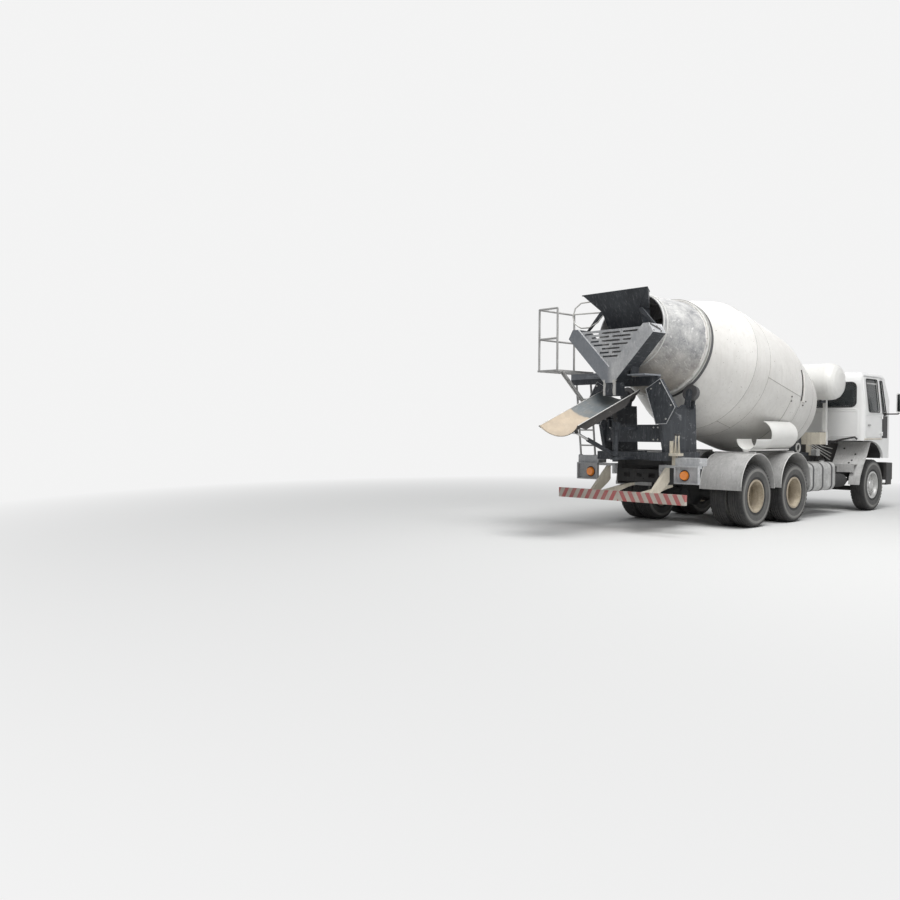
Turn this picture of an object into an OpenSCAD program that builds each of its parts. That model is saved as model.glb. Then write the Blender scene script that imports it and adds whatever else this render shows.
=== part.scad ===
// Concrete mixer truck, 6x4: millimetres, +X forward, +Y left, +Z up, ground at z = 0.
// Lengths along X are measured from the rearmost axle; in_row_frame() moves them so that
// the origin lies half way between the chute's tip and the bumper's front.

/* [Wheels and axles] */
// Outer diameter of every tyre
tyre_d = 1040; // [980:5:1060]
// Width of one tyre
tyre_w = 275; // [260:1:290]
// Diameter of the rim under the tyre bead
rim_d = 508; // [490:1:520]
// Outer face of the rear twin tyres from the centre line
rear_track_out = 1200; // [1190:1:1210]
// Outer face of the front tyres from the centre line
front_track_out = 1180; // [1170:1:1190]
// Gap between the two tyres of a twin wheel
twin_gap = 45; // [30:1:60]
// Distance between the two rear axles
axle_gap = 1360; // [1300:5:1400]
// Distance from the middle axle to the front axle
wheelbase = 3500; // [3450:5:3600]

/* [Frame] */
// Underside of the frame rails
rail_z = 720; // [700:1:740]
// Height of the frame rails
rail_h = 250; // [230:1:260]
// Outer width over the frame rails
frame_w = 860; // [820:1:880]
// Thickness of rail web and flanges
rail_t = 9; // [7:0.5:12]
// Width of a rail flange
flange_w = 80; // [70:1:90]
// Height of the subframe on the rails
sub_h = 150; // [130:1:170]
// Rear end of the frame
frame_rear = 1612; // [1560:1:1640]
// Front end of the frame, ahead of the front axle
frame_nose = 920; // [900:1:930]

/* [Drum] */
// Slope of the drum's axis
drum_tilt = 13.5; // [12.5:0.1:14]
// Mouth centre behind the rearmost axle
mouth_back = 1889; // [1880:1:1900]
// Mouth centre above the ground
mouth_z = 3193; // [3190:1:3230]
// Outer radius of the mouth
mouth_r = 600; // [590:1:605]
// Outer radius of the track ring
ring_r = 860; // [850:1:870]
// Track ring from the mouth, along the axis
ring_s = 1020; // [1010:1:1030]
// Width of the track ring
ring_w = 90; // [80:1:100]
// Largest outer radius of the drum
drum_r = 1170; // [1140:1:1175]
// Drum length from mouth to the front head
drum_len = 4950; // [4900:1:5000]
// Wall of the drum
drum_wall = 8; // [6:0.5:10]
// Radius of the drum rollers
roller_r = 130; // [120:1:140]

/* [Cab] */
// Rear face of the cab ahead of the rearmost axle
cab_rear = 4300; // [4280:1:4320]
// Length of the cab
cab_len = 1550; // [1530:1:1580]
// Width of the cab
cab_w = 2400; // [2380:5:2420]
// Underside of the cab floor
floor_z = 1420; // [1410:1:1430]
// Top of the roof
roof_z = 2800; // [2780:5:2850]
// Thickness of cab walls and doors
cab_wall = 45; // [40:1:50]
// Gap round the doors
door_gap = 5; // [5:0.5:8]

/* [Chute] */
// Length of the main chute
chute_len = 1650; // [1600:5:1700]
// Half of the trough's outer width
chute_half = 365; // [355:1:370]
// Outer depth of the trough
chute_depth = 170; // [165:1:180]
// Slope of the chute as parked
chute_slope = 20.7; // [18:0.1:23]
// Swivel post behind the rearmost axle
swivel_back = 2260; // [2250:1:2270]

/* [Tanks] */
// Radius of the water tank
water_r = 360; // [340:1:370]
// Length of the water tank
water_len = 2000; // [1950:5:2100]
// Length of the fuel tank
fuel_len = 1070; // [1000:5:1120]
// Height of the fuel tank
fuel_h = 530; // [500:5:560]

/* [Hidden] */
$fn = 48;
// Running clearance at pins and seats
seat = 0.3;
// Axle places
axle_z = tyre_d / 2;
mid_x = axle_gap;
front_x = axle_gap + wheelbase;
rear_axles = [0, mid_x];
// Frame heights
rail_top = rail_z + rail_h;
sub_top = rail_top + sub_h;
half_frame = frame_w / 2;
nose_x = front_x + frame_nose;
// Bumper and chute tip set the length
bumper_front = front_x + 1220;
swivel_x = -swivel_back;
pivot_drop = 180;
trough_r = (chute_half * chute_half + chute_depth * chute_depth) / (2 * chute_depth);
pivot_u = 400;
pivot_z = 1765;
pivot_x = swivel_x - 100;
chute_tip = pivot_x - (chute_len - pivot_u) * cos(chute_slope)
    - (chute_depth + pivot_drop) * sin(chute_slope);
middle_x = (bumper_front + chute_tip) / 2;
// Drum
ring_seat_r = ring_r - 30;
roller_angle = 38;
roller_dist = ring_r + roller_r + seat;
roller_pin_r = 25;
// Cab
cab_front = cab_rear + cab_len;
half_cab = cab_w / 2;
nose_z = 1060;
door_x = [cab_rear + 120, cab_rear + 850];
door_z = [floor_z + cab_wall + 5, roof_z - 95];
tilt_pin = [nose_x - 60, 1050];
tilt_pin_r = 18;

// Helpers

// Moves the truck so that the origin lies mid length
module in_row_frame() translate([-middle_x, 0, 0]) children();

// Box between two corners, given as ranges
module block(x, y, z)
    translate([x[0], y[0], z[0]]) cube([x[1] - x[0], y[1] - y[0], z[1] - z[0]]);

// Children on both sides of the truck
module both_sides() {
    children();
    mirror([0, 1, 0]) children();
}

// Plate from an outline in X and Z, across the range y
module across(y) translate([0, y[1], 0]) rotate([90, 0, 0]) linear_extrude(y[1] - y[0]) children();

// Bar from an outline in Y and Z, along the range x
module along(x) translate([x[0], 0, 0]) rotate([90, 0, 90]) linear_extrude(x[1] - x[0]) children();

// Round bar between two points
module rod(p, q, r) {
    d = q - p;
    translate(p) rotate([0, acos(d[2] / norm(d)), atan2(d[1], d[0])]) cylinder(h = norm(d), r = r);
}

// Round bar through a list of points, with a ball at each bend
module pipe(points, r) {
    for (i = [0:len(points) - 2]) rod(points[i], points[i + 1], r);
    for (i = [1:1:len(points) - 2]) translate(points[i]) sphere(r * 1.06, $fn = 16);
}

// Points along an arc
function arc(c, r, a0, a1, n = 6) =
    [for (i = [0:n]) c + r * [cos(a0 + (a1 - a0) * i / n), sin(a0 + (a1 - a0) * i / n)]];

// Rectangle with round corners, from two corner points
module rounded(p, q, r) {
    polygon(concat(
        arc([q[0] - r, q[1] - r], r, 0, 90), arc([p[0] + r, q[1] - r], r, 90, 180),
        arc([p[0] + r, p[1] + r], r, 180, 270), arc([q[0] - r, p[1] + r], r, 270, 360)));
}

// Frame and subframe

module rail_section(t) {
    y = half_frame;
    polygon([[y, rail_z], [y, rail_top], [y - flange_w, rail_top], [y - flange_w, rail_top - t],
        [y - t, rail_top - t], [y - t, rail_z + t], [y - flange_w, rail_z + t],
        [y - flange_w, rail_z]]);
}

// Cross members: x, radius
cross_tubes = [[-700, 55], [2050, 55], [2700, 55], [5640, 45]];
coupling_z = rail_z + 150;
coupling_hole_r = 10.5;
coupling_gap = [160, 100];
tow_bore_r = 20.5;
tow_x = nose_x + 180;

module frame_rails() {
    in_row_frame() color("dimgray") difference() {
        union() {
            both_sides() along([-frame_rear + 12, nose_x]) rail_section(rail_t);
            for (c = cross_tubes) translate([c[0], half_frame - 1, rail_z + rail_h / 2])
                rotate([90, 0, 0]) cylinder(h = frame_w - 2, r = c[1]);
            block([-frame_rear, -frame_rear + 12], [-half_frame, half_frame], [rail_z + 40, rail_top]);
            block([nose_x, nose_x + 12], [-half_frame, half_frame], [rail_z, rail_top]);
            block([nose_x, tow_x + 45], [-45, 45], [coupling_z - 30, coupling_z + 30]);
            both_sides() cab_mounts();
        }
        for (y = [-1, 1], z = [-1, 1])
            translate([-frame_rear - 1, y * coupling_gap[0] / 2, coupling_z + z * coupling_gap[1] / 2])
                rotate([0, 90, 0]) cylinder(h = 20, r = coupling_hole_r);
        block([-frame_rear - 1, -frame_rear + 13], [-50, 50], [coupling_z - 30, coupling_z + 30]);
        for (y = [-300, 180])
            block([-frame_rear - 1, -frame_rear + 13], [y, y + 120],
                [coupling_z - 35, coupling_z + 35]);
        translate([tow_x, 0, coupling_z - 31]) cylinder(h = 62, r = tow_bore_r);
    }
}

// Hinge bracket with its pin at the front, rear post with its cross bar
module cab_mounts() {
    p = tilt_pin;
    block([p[0] - 45, p[0] + 45], [half_frame - 45, half_frame - 8], [rail_top - 1, p[1] + 35]);
    translate([p[0], half_frame - 20, p[1]]) rotate([90, 0, 0]) cylinder(h = 75, r = tilt_pin_r);
    block([cab_rear + 50, cab_rear + 110], [half_frame - 45, half_frame], [rail_top - 1, floor_z - 40]);
    block([cab_rear + 50, cab_rear + 110], [0, half_frame], [floor_z - 60, floor_z - seat]);
}

module subframe() {
    beam_x = [-frame_rear + 12, 3700];
    in_row_frame() color("#3a4048") {
        both_sides() block(beam_x, [half_frame - 80, half_frame], [rail_top + seat, sub_top]);
        for (x = [-1500, -1100, 300, 1700, 2900, 3640])
            block([x, x + 60], [-half_frame + 79, half_frame - 79], [rail_top + 60, sub_top - 10]);
    }
}

// Axles and springs

spindle_front_r = 35;
spindle_rear_r = 50;
kingpin_y = 880;
kingpin_r = 18;
spring_y = [half_frame - 60, half_frame + 20];

// Leaf pack bowed downwards between two hanger points
module leaf_spring(x, half_len, z_mid, sag, leaves, leaf_t) {
    for (i = [0:leaves - 1]) {
        h = half_len * (1 - i * 0.8 / leaves);
        r = (half_len * half_len + sag * sag) / (2 * sag);
        low = z_mid - i * leaf_t;
        across(spring_y) intersection() {
            translate([x, low + r]) difference() {
                circle(r + leaf_t / 2 + 0.5, $fn = 180);
                circle(r - leaf_t / 2, $fn = 180);
            }
            translate([x - h, low - leaf_t]) square([2 * h, sag + 2 * leaf_t]);
        }
    }
}

module front_axle() {
    in_row_frame() color("#33363a") difference() {
        union() {
            block([front_x - 45, front_x + 45], [-780, 780], [axle_z - 130, axle_z - 40]);
            both_sides() {
                block([front_x - 40, front_x + 40], [740, kingpin_y - 50], [axle_z - 130, axle_z + 40]);
                block([front_x - 40, front_x + 40], [kingpin_y - 80, kingpin_y], [axle_z - 65, axle_z + 65]);
                translate([front_x, kingpin_y, axle_z - 70]) cylinder(h = 140, r = 42);
                leaf_spring(front_x, 700, axle_z - 10, 110, 5, 14);
                for (x = [front_x - 700, front_x + 660])
                    block([x, x + 50], spring_y, [axle_z + 70, rail_z]);
                block([front_x - 70, front_x + 70], spring_y, [axle_z - 100, axle_z + 10]);
            }
        }
        both_sides() translate([front_x, kingpin_y, axle_z - 200])
            cylinder(h = 400, r = kingpin_r + seat);
    }
}

flange_half = 245;

module axle_housing(x) {
    translate([x, 0, axle_z]) {
        rotate([90, 0, 0]) cylinder(h = 1200, r = 75, center = true);
        rotate([90, 0, 0]) cylinder(h = 2 * (rear_track_out - 200), r = spindle_rear_r, center = true);
        rotate([90, 0, 0]) cylinder(h = 130, r = 215, center = true);
        for (s = [-1, 1]) rotate([90 * s, 0, 0]) translate([0, 0, 64])
            cylinder(h = 130, r1 = 215, r2 = 80);
        rotate([0, 90, 0]) cylinder(h = 2 * flange_half, r = 75, center = true);
    }
}

module tandem_axles() {
    in_row_frame() color("#33363a") {
        for (x = rear_axles) axle_housing(x);
        both_sides() {
            leaf_spring(axle_gap / 2, 640, axle_z + 70, 40, 6, 14);
            for (x = rear_axles) block([x - 60, x + 60], spring_y, [axle_z + 40, axle_z + 130]);
            block([axle_gap / 2 - 110, axle_gap / 2 + 110], spring_y, [axle_z - 180, rail_z]);
        }
        translate([axle_gap / 2, 0, axle_z - 130]) rotate([90, 0, 0])
            cylinder(h = frame_w, r = 50, center = true);
    }
}

// Knuckle with kingpin and spindle
module knuckle(side) {
    in_row_frame() color("#44474b") mirror([0, side < 0 ? 1 : 0, 0]) {
        translate([front_x, kingpin_y, axle_z - 115]) cylinder(h = 230, r = kingpin_r);
        for (z = [axle_z - 115, axle_z + 75])
            translate([front_x, kingpin_y, z]) cylinder(h = 40, r = 40);
        for (z = [axle_z - 115, axle_z + 75])
            block([front_x - 35, front_x + 35], [kingpin_y, kingpin_y + 65], [z, z + 40]);
        block([front_x - 60, front_x + 60], [kingpin_y + 50, kingpin_y + 75],
            [axle_z - 115, axle_z + 115]);
        translate([front_x, kingpin_y + 70, axle_z]) rotate([-90, 0, 0])
            cylinder(h = front_track_out - kingpin_y - 140, r = spindle_front_r);
    }
}

module knuckle_left() knuckle(1);
module knuckle_right() knuckle(-1);

// Wheels: drawn about the Y axis, outer side towards +Y

// Half of a tyre's section: radius, distance from the tyre's middle
tyre_half = [[rim_d / 2 + seat, tyre_w / 2 - 32], [rim_d / 2 + 20, tyre_w / 2 - 27],
    [rim_d / 2 + 62, tyre_w / 2 - 9], [rim_d / 2 + 110, tyre_w / 2], [tyre_d / 2 - 75, tyre_w / 2 - 2],
    [tyre_d / 2 - 26, tyre_w / 2 - 10], [tyre_d / 2 - 6, tyre_w / 2 - 26],
    [tyre_d / 2, tyre_w / 2 - 48]];

module tyre_ring() rotate([-90, 0, 0]) rotate_extrude($fn = 60)
    polygon(concat(tyre_half, [for (i = [len(tyre_half) - 1:-1:0]) [tyre_half[i][0], -tyre_half[i][1]]]));

front_tyre_y = front_track_out - tyre_w / 2;
outer_tyre_y = rear_track_out - tyre_w / 2;
inner_tyre_y = outer_tyre_y - tyre_w - twin_gap;

// Puts a wheel on its axle end
module at_wheel(x, side) in_row_frame() mirror([0, side < 0 ? 1 : 0, 0])
    translate([x, 0, axle_z]) children();

module front_tyre(side) color("#2b2b2c") at_wheel(front_x, side)
    translate([0, front_tyre_y, 0]) tyre_ring();

module twin_tyres(x, side) color("#2b2b2c") at_wheel(x, side)
    for (y = [outer_tyre_y, inner_tyre_y]) translate([0, y, 0]) tyre_ring();

module tyre_front_left() front_tyre(1);
module tyre_front_right() front_tyre(-1);
module tyre_mid_left() twin_tyres(mid_x, 1);
module tyre_mid_right() twin_tyres(mid_x, -1);
module tyre_rear_left() twin_tyres(0, 1);
module tyre_rear_right() twin_tyres(0, -1);

rim_t = 9;
lip = 20;

// Rim barrel about a tyre middle at y, as an outline of radius and width
module barrel(y) {
    r = rim_d / 2;
    b = tyre_w / 2 - 32;
    polygon([[r - rim_t, y - b - 14], [r + lip, y - b - 14], [r + lip, y - b - 6], [r, y - b - 2],
        [r, y + b + 2], [r + lip, y + b + 6], [r + lip, y + b + 14], [r - rim_t, y + b + 14],
        [r - rim_t, y + b], [r - rim_t - 14, y + b - 60], [r - rim_t - 14, y - b + 60],
        [r - rim_t, y - b]]);
}

// Eight hand holes in the disc
module hand_holes(r, hole_r, y) for (i = [0:7]) rotate([0, i * 45, 0])
    translate([r, y, 0]) rotate([90, 0, 0]) cylinder(h = 60, r = hole_r, center = true);

module rim_front(side) {
    y = front_tyre_y;
    disc = y + 55;
    r = rim_d / 2 - rim_t;
    color("#8d8f90") at_wheel(front_x, side) difference() {
        rotate([-90, 0, 0]) {
            rotate_extrude($fn = 72) barrel(y);
            rotate_extrude($fn = 72) polygon([[0, disc + 40], [90, disc + 40], [105, disc + 12], [165, disc + 10],
                [r - 10, y + 30], [r, y + 30], [r, y + 18], [r - 16, y + 18], [160, disc - 4],
                [95, disc - 4], [85, kingpin_y + 80], [spindle_front_r + seat, kingpin_y + 80],
                [spindle_front_r + seat, disc + 20], [0, disc + 20]]);
        }
        hand_holes(190, 24, y + 45);
    }
}

module rim_twin(x, side) {
    disc = (outer_tyre_y + inner_tyre_y) / 2;
    r = rim_d / 2 - rim_t;
    color("#cfc6b2") at_wheel(x, side) difference() {
        rotate([-90, 0, 0]) rotate_extrude($fn = 72) {
            barrel(outer_tyre_y);
            barrel(inner_tyre_y);
            polygon([[r + 3, disc - 62], [r + 3, disc + 62], [r - 12, disc + 62], [r - 14, disc + 18],
                [r - 30, disc + 10], [140, disc + 10], [120, disc + 16], [105, disc + 90],
                [70, disc + 120], [0, disc + 124], [0, disc + 106], [spindle_rear_r + seat, disc + 106],
                [spindle_rear_r + seat, disc - 190], [115, disc - 190], [125, disc - 60],
                [140, disc - 10], [r - 30, disc - 10], [r - 14, disc - 18], [r - 12, disc - 62]]);
        }
        hand_holes(182, 26, disc);
    }
}

module rim_front_left() rim_front(1);
module rim_front_right() rim_front(-1);
module rim_mid_left() rim_twin(mid_x, 1);
module rim_mid_right() rim_twin(mid_x, -1);
module rim_rear_left() rim_twin(0, 1);
module rim_rear_right() rim_twin(0, -1);

// Engine and drive line

module engine_block() in_row_frame() color("#5b5d60") {
    block([cab_rear + 60, front_x + 420], [-340, 340], [floor_z - 700, floor_z - 80]);
    for (x = [cab_rear + 200, front_x + 300]) block([x, x + 90],
        [-half_frame + rail_t + seat, half_frame - rail_t - seat], [rail_z + 80, rail_z + 170]);
}

shaft_r = 45;

module drive_line() in_row_frame() color("#4c4f52") {
    translate([cab_rear + 60 - seat, 0, 860]) rotate([0, -90, 0]) cylinder(h = 260, r1 = 215, r2 = 170);
    translate([cab_rear - 195, 0, 860]) rotate([0, -90, 0]) cylinder(h = 520, r = 150);
    pipe([[cab_rear - 700, 0, 850], [mid_x + flange_half + 90, 0, axle_z],
        [mid_x + flange_half + seat, 0, axle_z]], shaft_r);
    for (x = [mid_x + flange_half + seat, mid_x - flange_half - seat - 30, flange_half + seat])
        translate([x, 0, axle_z]) rotate([0, 90, 0]) cylinder(h = 30, r = 70);
    rod([mid_x - flange_half - seat - 1, 0, axle_z], [flange_half + seat + 1, 0, axle_z], shaft_r);
}

// Tanks and boxes

fuel_x = 2050;
tank_out = 1150;
tank_in = half_frame + 70;

module fuel_tank() in_row_frame() color("#a9abac") mirror([0, 1, 0]) {
    z = 490;
    along([fuel_x, fuel_x + fuel_len]) rounded([tank_in, z], [tank_out - 8, z + fuel_h], 120);
    for (x = [fuel_x + 150, fuel_x + fuel_len / 2, fuel_x + fuel_len - 150])
        along([x - 22, x + 22]) difference() {
            rounded([tank_in - 4, z - 4], [tank_out, z + fuel_h + 4], 124);
            rounded([tank_in + 1, z + 1], [tank_out - 9, z + fuel_h - 1], 119);
        }
    for (x = [fuel_x + 150, fuel_x + fuel_len - 150])
        block([x - 40, x + 40], [half_frame + seat, tank_in + 2], [rail_z + 10, rail_top - 40]);
    translate([fuel_x + fuel_len - 250, tank_out - 160, z + fuel_h - 5]) cylinder(h = 45, r = 45);
}

// Air tanks on the right: distance from the centre line
air_tank_y = [670, 945];
air_tank_r = 130;
air_tank_len = 640;
air_tank_x = 3230;
air_tank_z = 645;

module air_tanks() in_row_frame() color("#3a3b3d") mirror([0, 1, 0]) {
    r = air_tank_r;
    for (y = air_tank_y) translate([air_tank_x, y, air_tank_z]) rotate([0, 90, 0])
        rotate_extrude($fn = 40) polygon([[0, 0], [70, 8], [112, 28], [r, 60], [r, air_tank_len - 60],
            [112, air_tank_len - 28], [70, air_tank_len - 8], [0, air_tank_len]]);
    for (x = [air_tank_x + 120, air_tank_x + air_tank_len - 160])
        block([x, x + 40], [half_frame + seat, air_tank_y[1]], [air_tank_z + r - 30, air_tank_z + r + 20]);
}

module battery_box() in_row_frame() color("#45484b") {
    along([3080, 3760]) rounded([half_frame + 90, 560], [1120, 960], 30);
    for (x = [3180, 3620]) block([x, x + 60], [half_frame + seat, half_frame + 91], [rail_z + 20, rail_top - 30]);
}

silencer = [2080, 830, 650];
silencer_len = 870;
silencer_r = 150;
pipe_r = 38;

module exhaust() in_row_frame() color("#6b5a4e") {
    translate(silencer) rotate([0, 90, 0]) rotate_extrude($fn = 48)
        polygon([[0, 0], [120, 0], [silencer_r, 30], [silencer_r, silencer_len - 30],
            [120, silencer_len], [0, silencer_len]]);
    pipe([silencer + [silencer_len - 5, 0, 0], [3010, 830, 650], [3030, 300, 660], [cab_rear - 120, 300, 665],
        [cab_rear - 40, 300, 765], [cab_rear + 60 - seat, 300, 765]], pipe_r);
    pipe([silencer + [5, 0, 0], [2030, 830, 640], [2010, 1040, 600]], pipe_r);
    for (x = [2200, 2800]) block([x, x + 40], [half_frame + seat, 740], [rail_z + 20, rail_z + 60]);
}

// Bumper, mudguards and fenders

step_x = front_x + 640;
bumper_z = [600, 950];
step_z = 500;
bumper_t = 60;
bumper_r = 330;
lamp_pocket = [[550, 640], [850, 780]];

// Plan of the bumper, i inside its outer face
function bumper_plan(i) = concat(
    [[step_x, -1190 + i], [bumper_front - bumper_r, -1190 + i]],
    arc([bumper_front - bumper_r, -1190 + bumper_r], bumper_r - i, -90, 0, 8),
    arc([bumper_front - bumper_r, 1190 - bumper_r], bumper_r - i, 0, 90, 8),
    [[step_x, 1190 - i]]);

module front_bumper() in_row_frame() color("#2e3033") {
    difference() {
        translate([0, 0, bumper_z[0]]) linear_extrude(bumper_z[1] - bumper_z[0]) polygon(bumper_plan(0));
        translate([-1, 0, bumper_z[0] - 1]) linear_extrude(bumper_z[1] - bumper_z[0] + 2)
            polygon(bumper_plan(bumper_t));
        both_sides() along([bumper_front - 30, bumper_front + 1])
            rounded(lamp_pocket[0], lamp_pocket[1], 20);
        along([bumper_front - bumper_t - 1, bumper_front + 1])
            rounded([-110, coupling_z - 70], [110, coupling_z + 70], 20);
    }
    both_sides() {
        block([nose_x + 12 + seat, bumper_front - bumper_t + 1], [300, 380], [rail_z + 20, rail_z + 120]);
        for (y = [930, 1170]) block([step_x, step_x + 260], [y, y + 20], [step_z, bumper_z[0] + 1]);
        block([step_x, step_x + 260], [949, 1171], [step_z, step_z + 25]);
        block([step_x, step_x + 40], [920, 1140], [bumper_z[0], bumper_z[0] + 60]);
    }
}

mudguard_t = 7;

// Side outlines of the sheets behind and over a front wheel, in X from the front axle and Z
guard_line = [[-753, 548], [-697, 722], [-551, 946], [-400, 1120], [-222, 1399]];
liner_line = [[-232, 1392], [20, 1372], [190, 1312], [310, 1234], [382, 1156], [400, 1062]];

// Sheet along an outline, thickened by d
module sheet(line, d, y) across(y) translate([front_x, 0])
    polygon(concat(line, [for (i = [len(line) - 1:-1:0]) line[i] + d]));

module front_mudguards() in_row_frame() both_sides() {
    color("#9fa2a3") {
        sheet([for (i = [2:4]) guard_line[i]], [-mudguard_t, 0], [570, 1200]);
        sheet([for (i = [0:2]) guard_line[i]], [-mudguard_t, 0], [980, 1200]);
        block([front_x - 730, front_x - 548], [740, 1080], [940, 950]);
        block([front_x - 730, front_x - 723], [740, 1080], [790, 945]);
        block([front_x - 700, front_x - 560], [half_frame + seat, 745], [900, 944]);
    }
    color("#2b2b2c") sheet(liner_line, [-2, -mudguard_t], [600, 1150]);
}

fender_r = 555;
fender_t = 6;
fender_z = 660;
fender_y = [470, 1220];
fender_low = 630;
fender_top = fender_z + fender_r + fender_t + 25;

// One arch over a tandem wheel
module fender(x) across(fender_y) translate([x, 0]) {
    difference() {
        union() {
            translate([0, fender_z]) circle(fender_r + fender_t, $fn = 96);
            translate([-fender_r - fender_t, fender_low])
                square([2 * (fender_r + fender_t), fender_z - fender_low]);
        }
        translate([0, fender_z]) circle(fender_r, $fn = 96);
        translate([-fender_r, -fender_r]) square([2 * fender_r, fender_z + fender_r]);
        translate([-2 * fender_r, fender_low - 2 * fender_r]) square([4 * fender_r, 2 * fender_r]);
    }
}

module rear_fenders() in_row_frame() color("#a3a5a6") both_sides() {
    for (x = rear_axles) {
        fender(x);
        for (s = [-1, 1]) translate([x, 0, 0]) mirror([s < 0 ? 1 : 0, 0, 0])
            block([fender_r + 1, fender_r + 16], fender_y, [fender_low, fender_low + 60]);
        block([x - 30, x + 30], [half_frame + seat, fender_y[1] - 60], [fender_top - 26, fender_top]);
        block([x - 30, x + 30], [half_frame + seat, half_frame + 25], [rail_top + 20, fender_top]);
    }
}

// Rear of the truck

bar_x = [-2185, -2125];
bar_z = [480, 635];
bar_half = 1200;

module underrun_bar() in_row_frame() {
    color("#b9aaa0") block(bar_x, [-bar_half, bar_half], bar_z);
    color("#c9c2b4") both_sides() {
        across([340, 400]) polygon([[bar_x[1] - 1, 500], [bar_x[1] - 1, 620], [-1400, rail_z - seat],
            [-1250, rail_z - seat], [-1250, rail_z - 40], [-1400, rail_z - 60]]);
        across([540, 590]) polygon([[bar_x[1] - 1, 490], [bar_x[1] - 1, 635], [-1700, arm_z - seat],
            [-1645, arm_z - seat], [-1645, 790], [-1700, 740]]);
    }
}

lamp_y = 900;
lamp_z = 900;
arm_z = 1010;
guard_y = [740, 1160];

module tail_lamps() in_row_frame() color("#55585a") both_sides() {
    block([-1700, -1640], [half_frame + seat, guard_y[1]], [arm_z, arm_z + 40]);
    block([-1641, -1540], [half_frame + seat, half_frame + 40], [rail_top - 90, arm_z + 40]);
    block([-1700, -1640], [half_frame + seat, half_frame + 40], [rail_top - 90, arm_z + 1]);
    block([-1720, -1500], guard_y, [arm_z + 39, arm_z + 160]);
    difference() {
        block([-1760, -1700], guard_y, [lamp_z - 130, arm_z + 40]);
        block([-1770, -1712], [guard_y[0] + 20, guard_y[1] - 20], [lamp_z - 110, arm_z + 20]);
    }
}

lens_depth = 22;

module lamp_lenses() in_row_frame() {
    color("#d5702a") both_sides() translate([-1712 - seat, lamp_y, lamp_z]) rotate([0, -90, 0])
        cylinder(h = 40, r1 = 75, r2 = 62);
    color("#e8e8e4") both_sides() along([bumper_front - 30 + seat, bumper_front - 30 + lens_depth])
        rounded(lamp_pocket[0] + [1, 1] * seat, lamp_pocket[1] - [1, 1] * seat, 20 - seat);
}

pedestal_y = [540, 600];
lambda_x = [-1950, -1870];
shelf_x = -2300;
shelf_z = 2460;

module rear_pedestal() in_row_frame() color("#39424d") {
    both_sides() {
        across(pedestal_y) polygon([[lambda_x[0] + 50, 1690], [-1780, sub_top + 130], [-880, sub_top + 130],
            [-920, 2010], [-1240, 2010], [-1800, 1760], [lambda_x[0] + 50, 1760]]);
        block([-1850, -880], [half_frame - 80, pedestal_y[1] + 60], [sub_top + seat, sub_top + 131]);
        along(lambda_x) polygon([[340, 2240], [600, 2390], [870, 1950], [720, 1700], [530, 1690]]);
    }
    block([-1780, -1700], [-pedestal_y[0] - 1, pedestal_y[0] + 1], [1410, 1685]);
    block([-1780, -1720], [-351, 351], [sub_top + 10, sub_top + 130]);
    block(lambda_x, [-560, 560], [shelf_z - 170, shelf_z - 20]);
    block(lambda_x, [540, 1150], [2440 - 90, 2530 - seat]);
    both_sides() block([shelf_x, lambda_x[1]], [235, 560], [shelf_z - 21, shelf_z]);
    for (s = [-1, 1]) roller_bracket(s);
    for (z = socket_z) swivel_socket(z);
}

// Drum frame: local Z runs along the drum axis from the mouth, local X points down
module on_drum_axis() translate([-mouth_back, 0, mouth_z]) rotate([0, 90 + drum_tilt, 0]) children();

module at_roller(side) on_drum_axis() translate([0, 0, ring_s])
    rotate([0, 0, side * roller_angle]) translate([roller_dist, 0, 0]) children();

module roller_bracket(side) at_roller(side) rotate([0, 0, -side * roller_angle]) {
    for (z = [-ring_w / 2 - 24, ring_w / 2 + 10]) translate([0, 0, z]) linear_extrude(14) {
        circle(55);
        translate([0, -55]) square([250, 110]);
    }
    translate([0, 0, -ring_w / 2 - 24]) cylinder(h = ring_w + 48, r = roller_pin_r);
}

module roller(side) in_row_frame() color("#50545a") at_roller(side) difference() {
    translate([0, 0, -ring_w / 2]) cylinder(h = ring_w, r = roller_r, $fn = 60);
    translate([0, 0, -ring_w]) cylinder(h = 2 * ring_w, r = roller_pin_r + seat);
}

module roller_left() roller(1);
module roller_right() roller(-1);

// Drum stations: distance from the mouth, radius
drum_line = [[0, mouth_r], [ring_s - 80, ring_seat_r - 18], [ring_s - 80, ring_seat_r],
    [ring_s + 80, ring_seat_r], [1500, drum_r - 158], [1950, drum_r - 10], [2480, drum_r],
    [3600, drum_r], [4100, drum_r - 95], [4450, drum_r - 170], [4800, drum_r - 250],
    [drum_len, drum_r - 480]];
trunnion_r = 90;
trunnion_len = 200;

module drum_shell() in_row_frame() color("#d8d4cb") on_drum_axis() rotate_extrude($fn = 96)
    polygon(concat([for (p = drum_line) [p[1], p[0]]],
        [[trunnion_r, drum_len], [trunnion_r, drum_len + trunnion_len], [0, drum_len + trunnion_len],
        [0, drum_len - drum_wall]],
        [for (i = [len(drum_line) - 1:-1:0]) [drum_line[i][1] - drum_wall * 1.2,
            i == 0 ? 0 : drum_line[i][0] - (i == len(drum_line) - 1 ? drum_wall : 0)]]));

module drum_ring() in_row_frame() color("#5d5e60") on_drum_axis() translate([0, 0, ring_s - ring_w / 2])
    difference() {
        cylinder(h = ring_w, r = ring_r, $fn = 96);
        translate([0, 0, -1]) cylinder(h = ring_w + 2, r = ring_seat_r + seat, $fn = 96);
    }

// Middle of the gearbox, on the drum's axis
gear_x = -mouth_back + (drum_len + 195) * cos(drum_tilt);
gear_z = mouth_z - (drum_len + 195) * sin(drum_tilt);
pedestal_plate_y = [240, 300];

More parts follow.
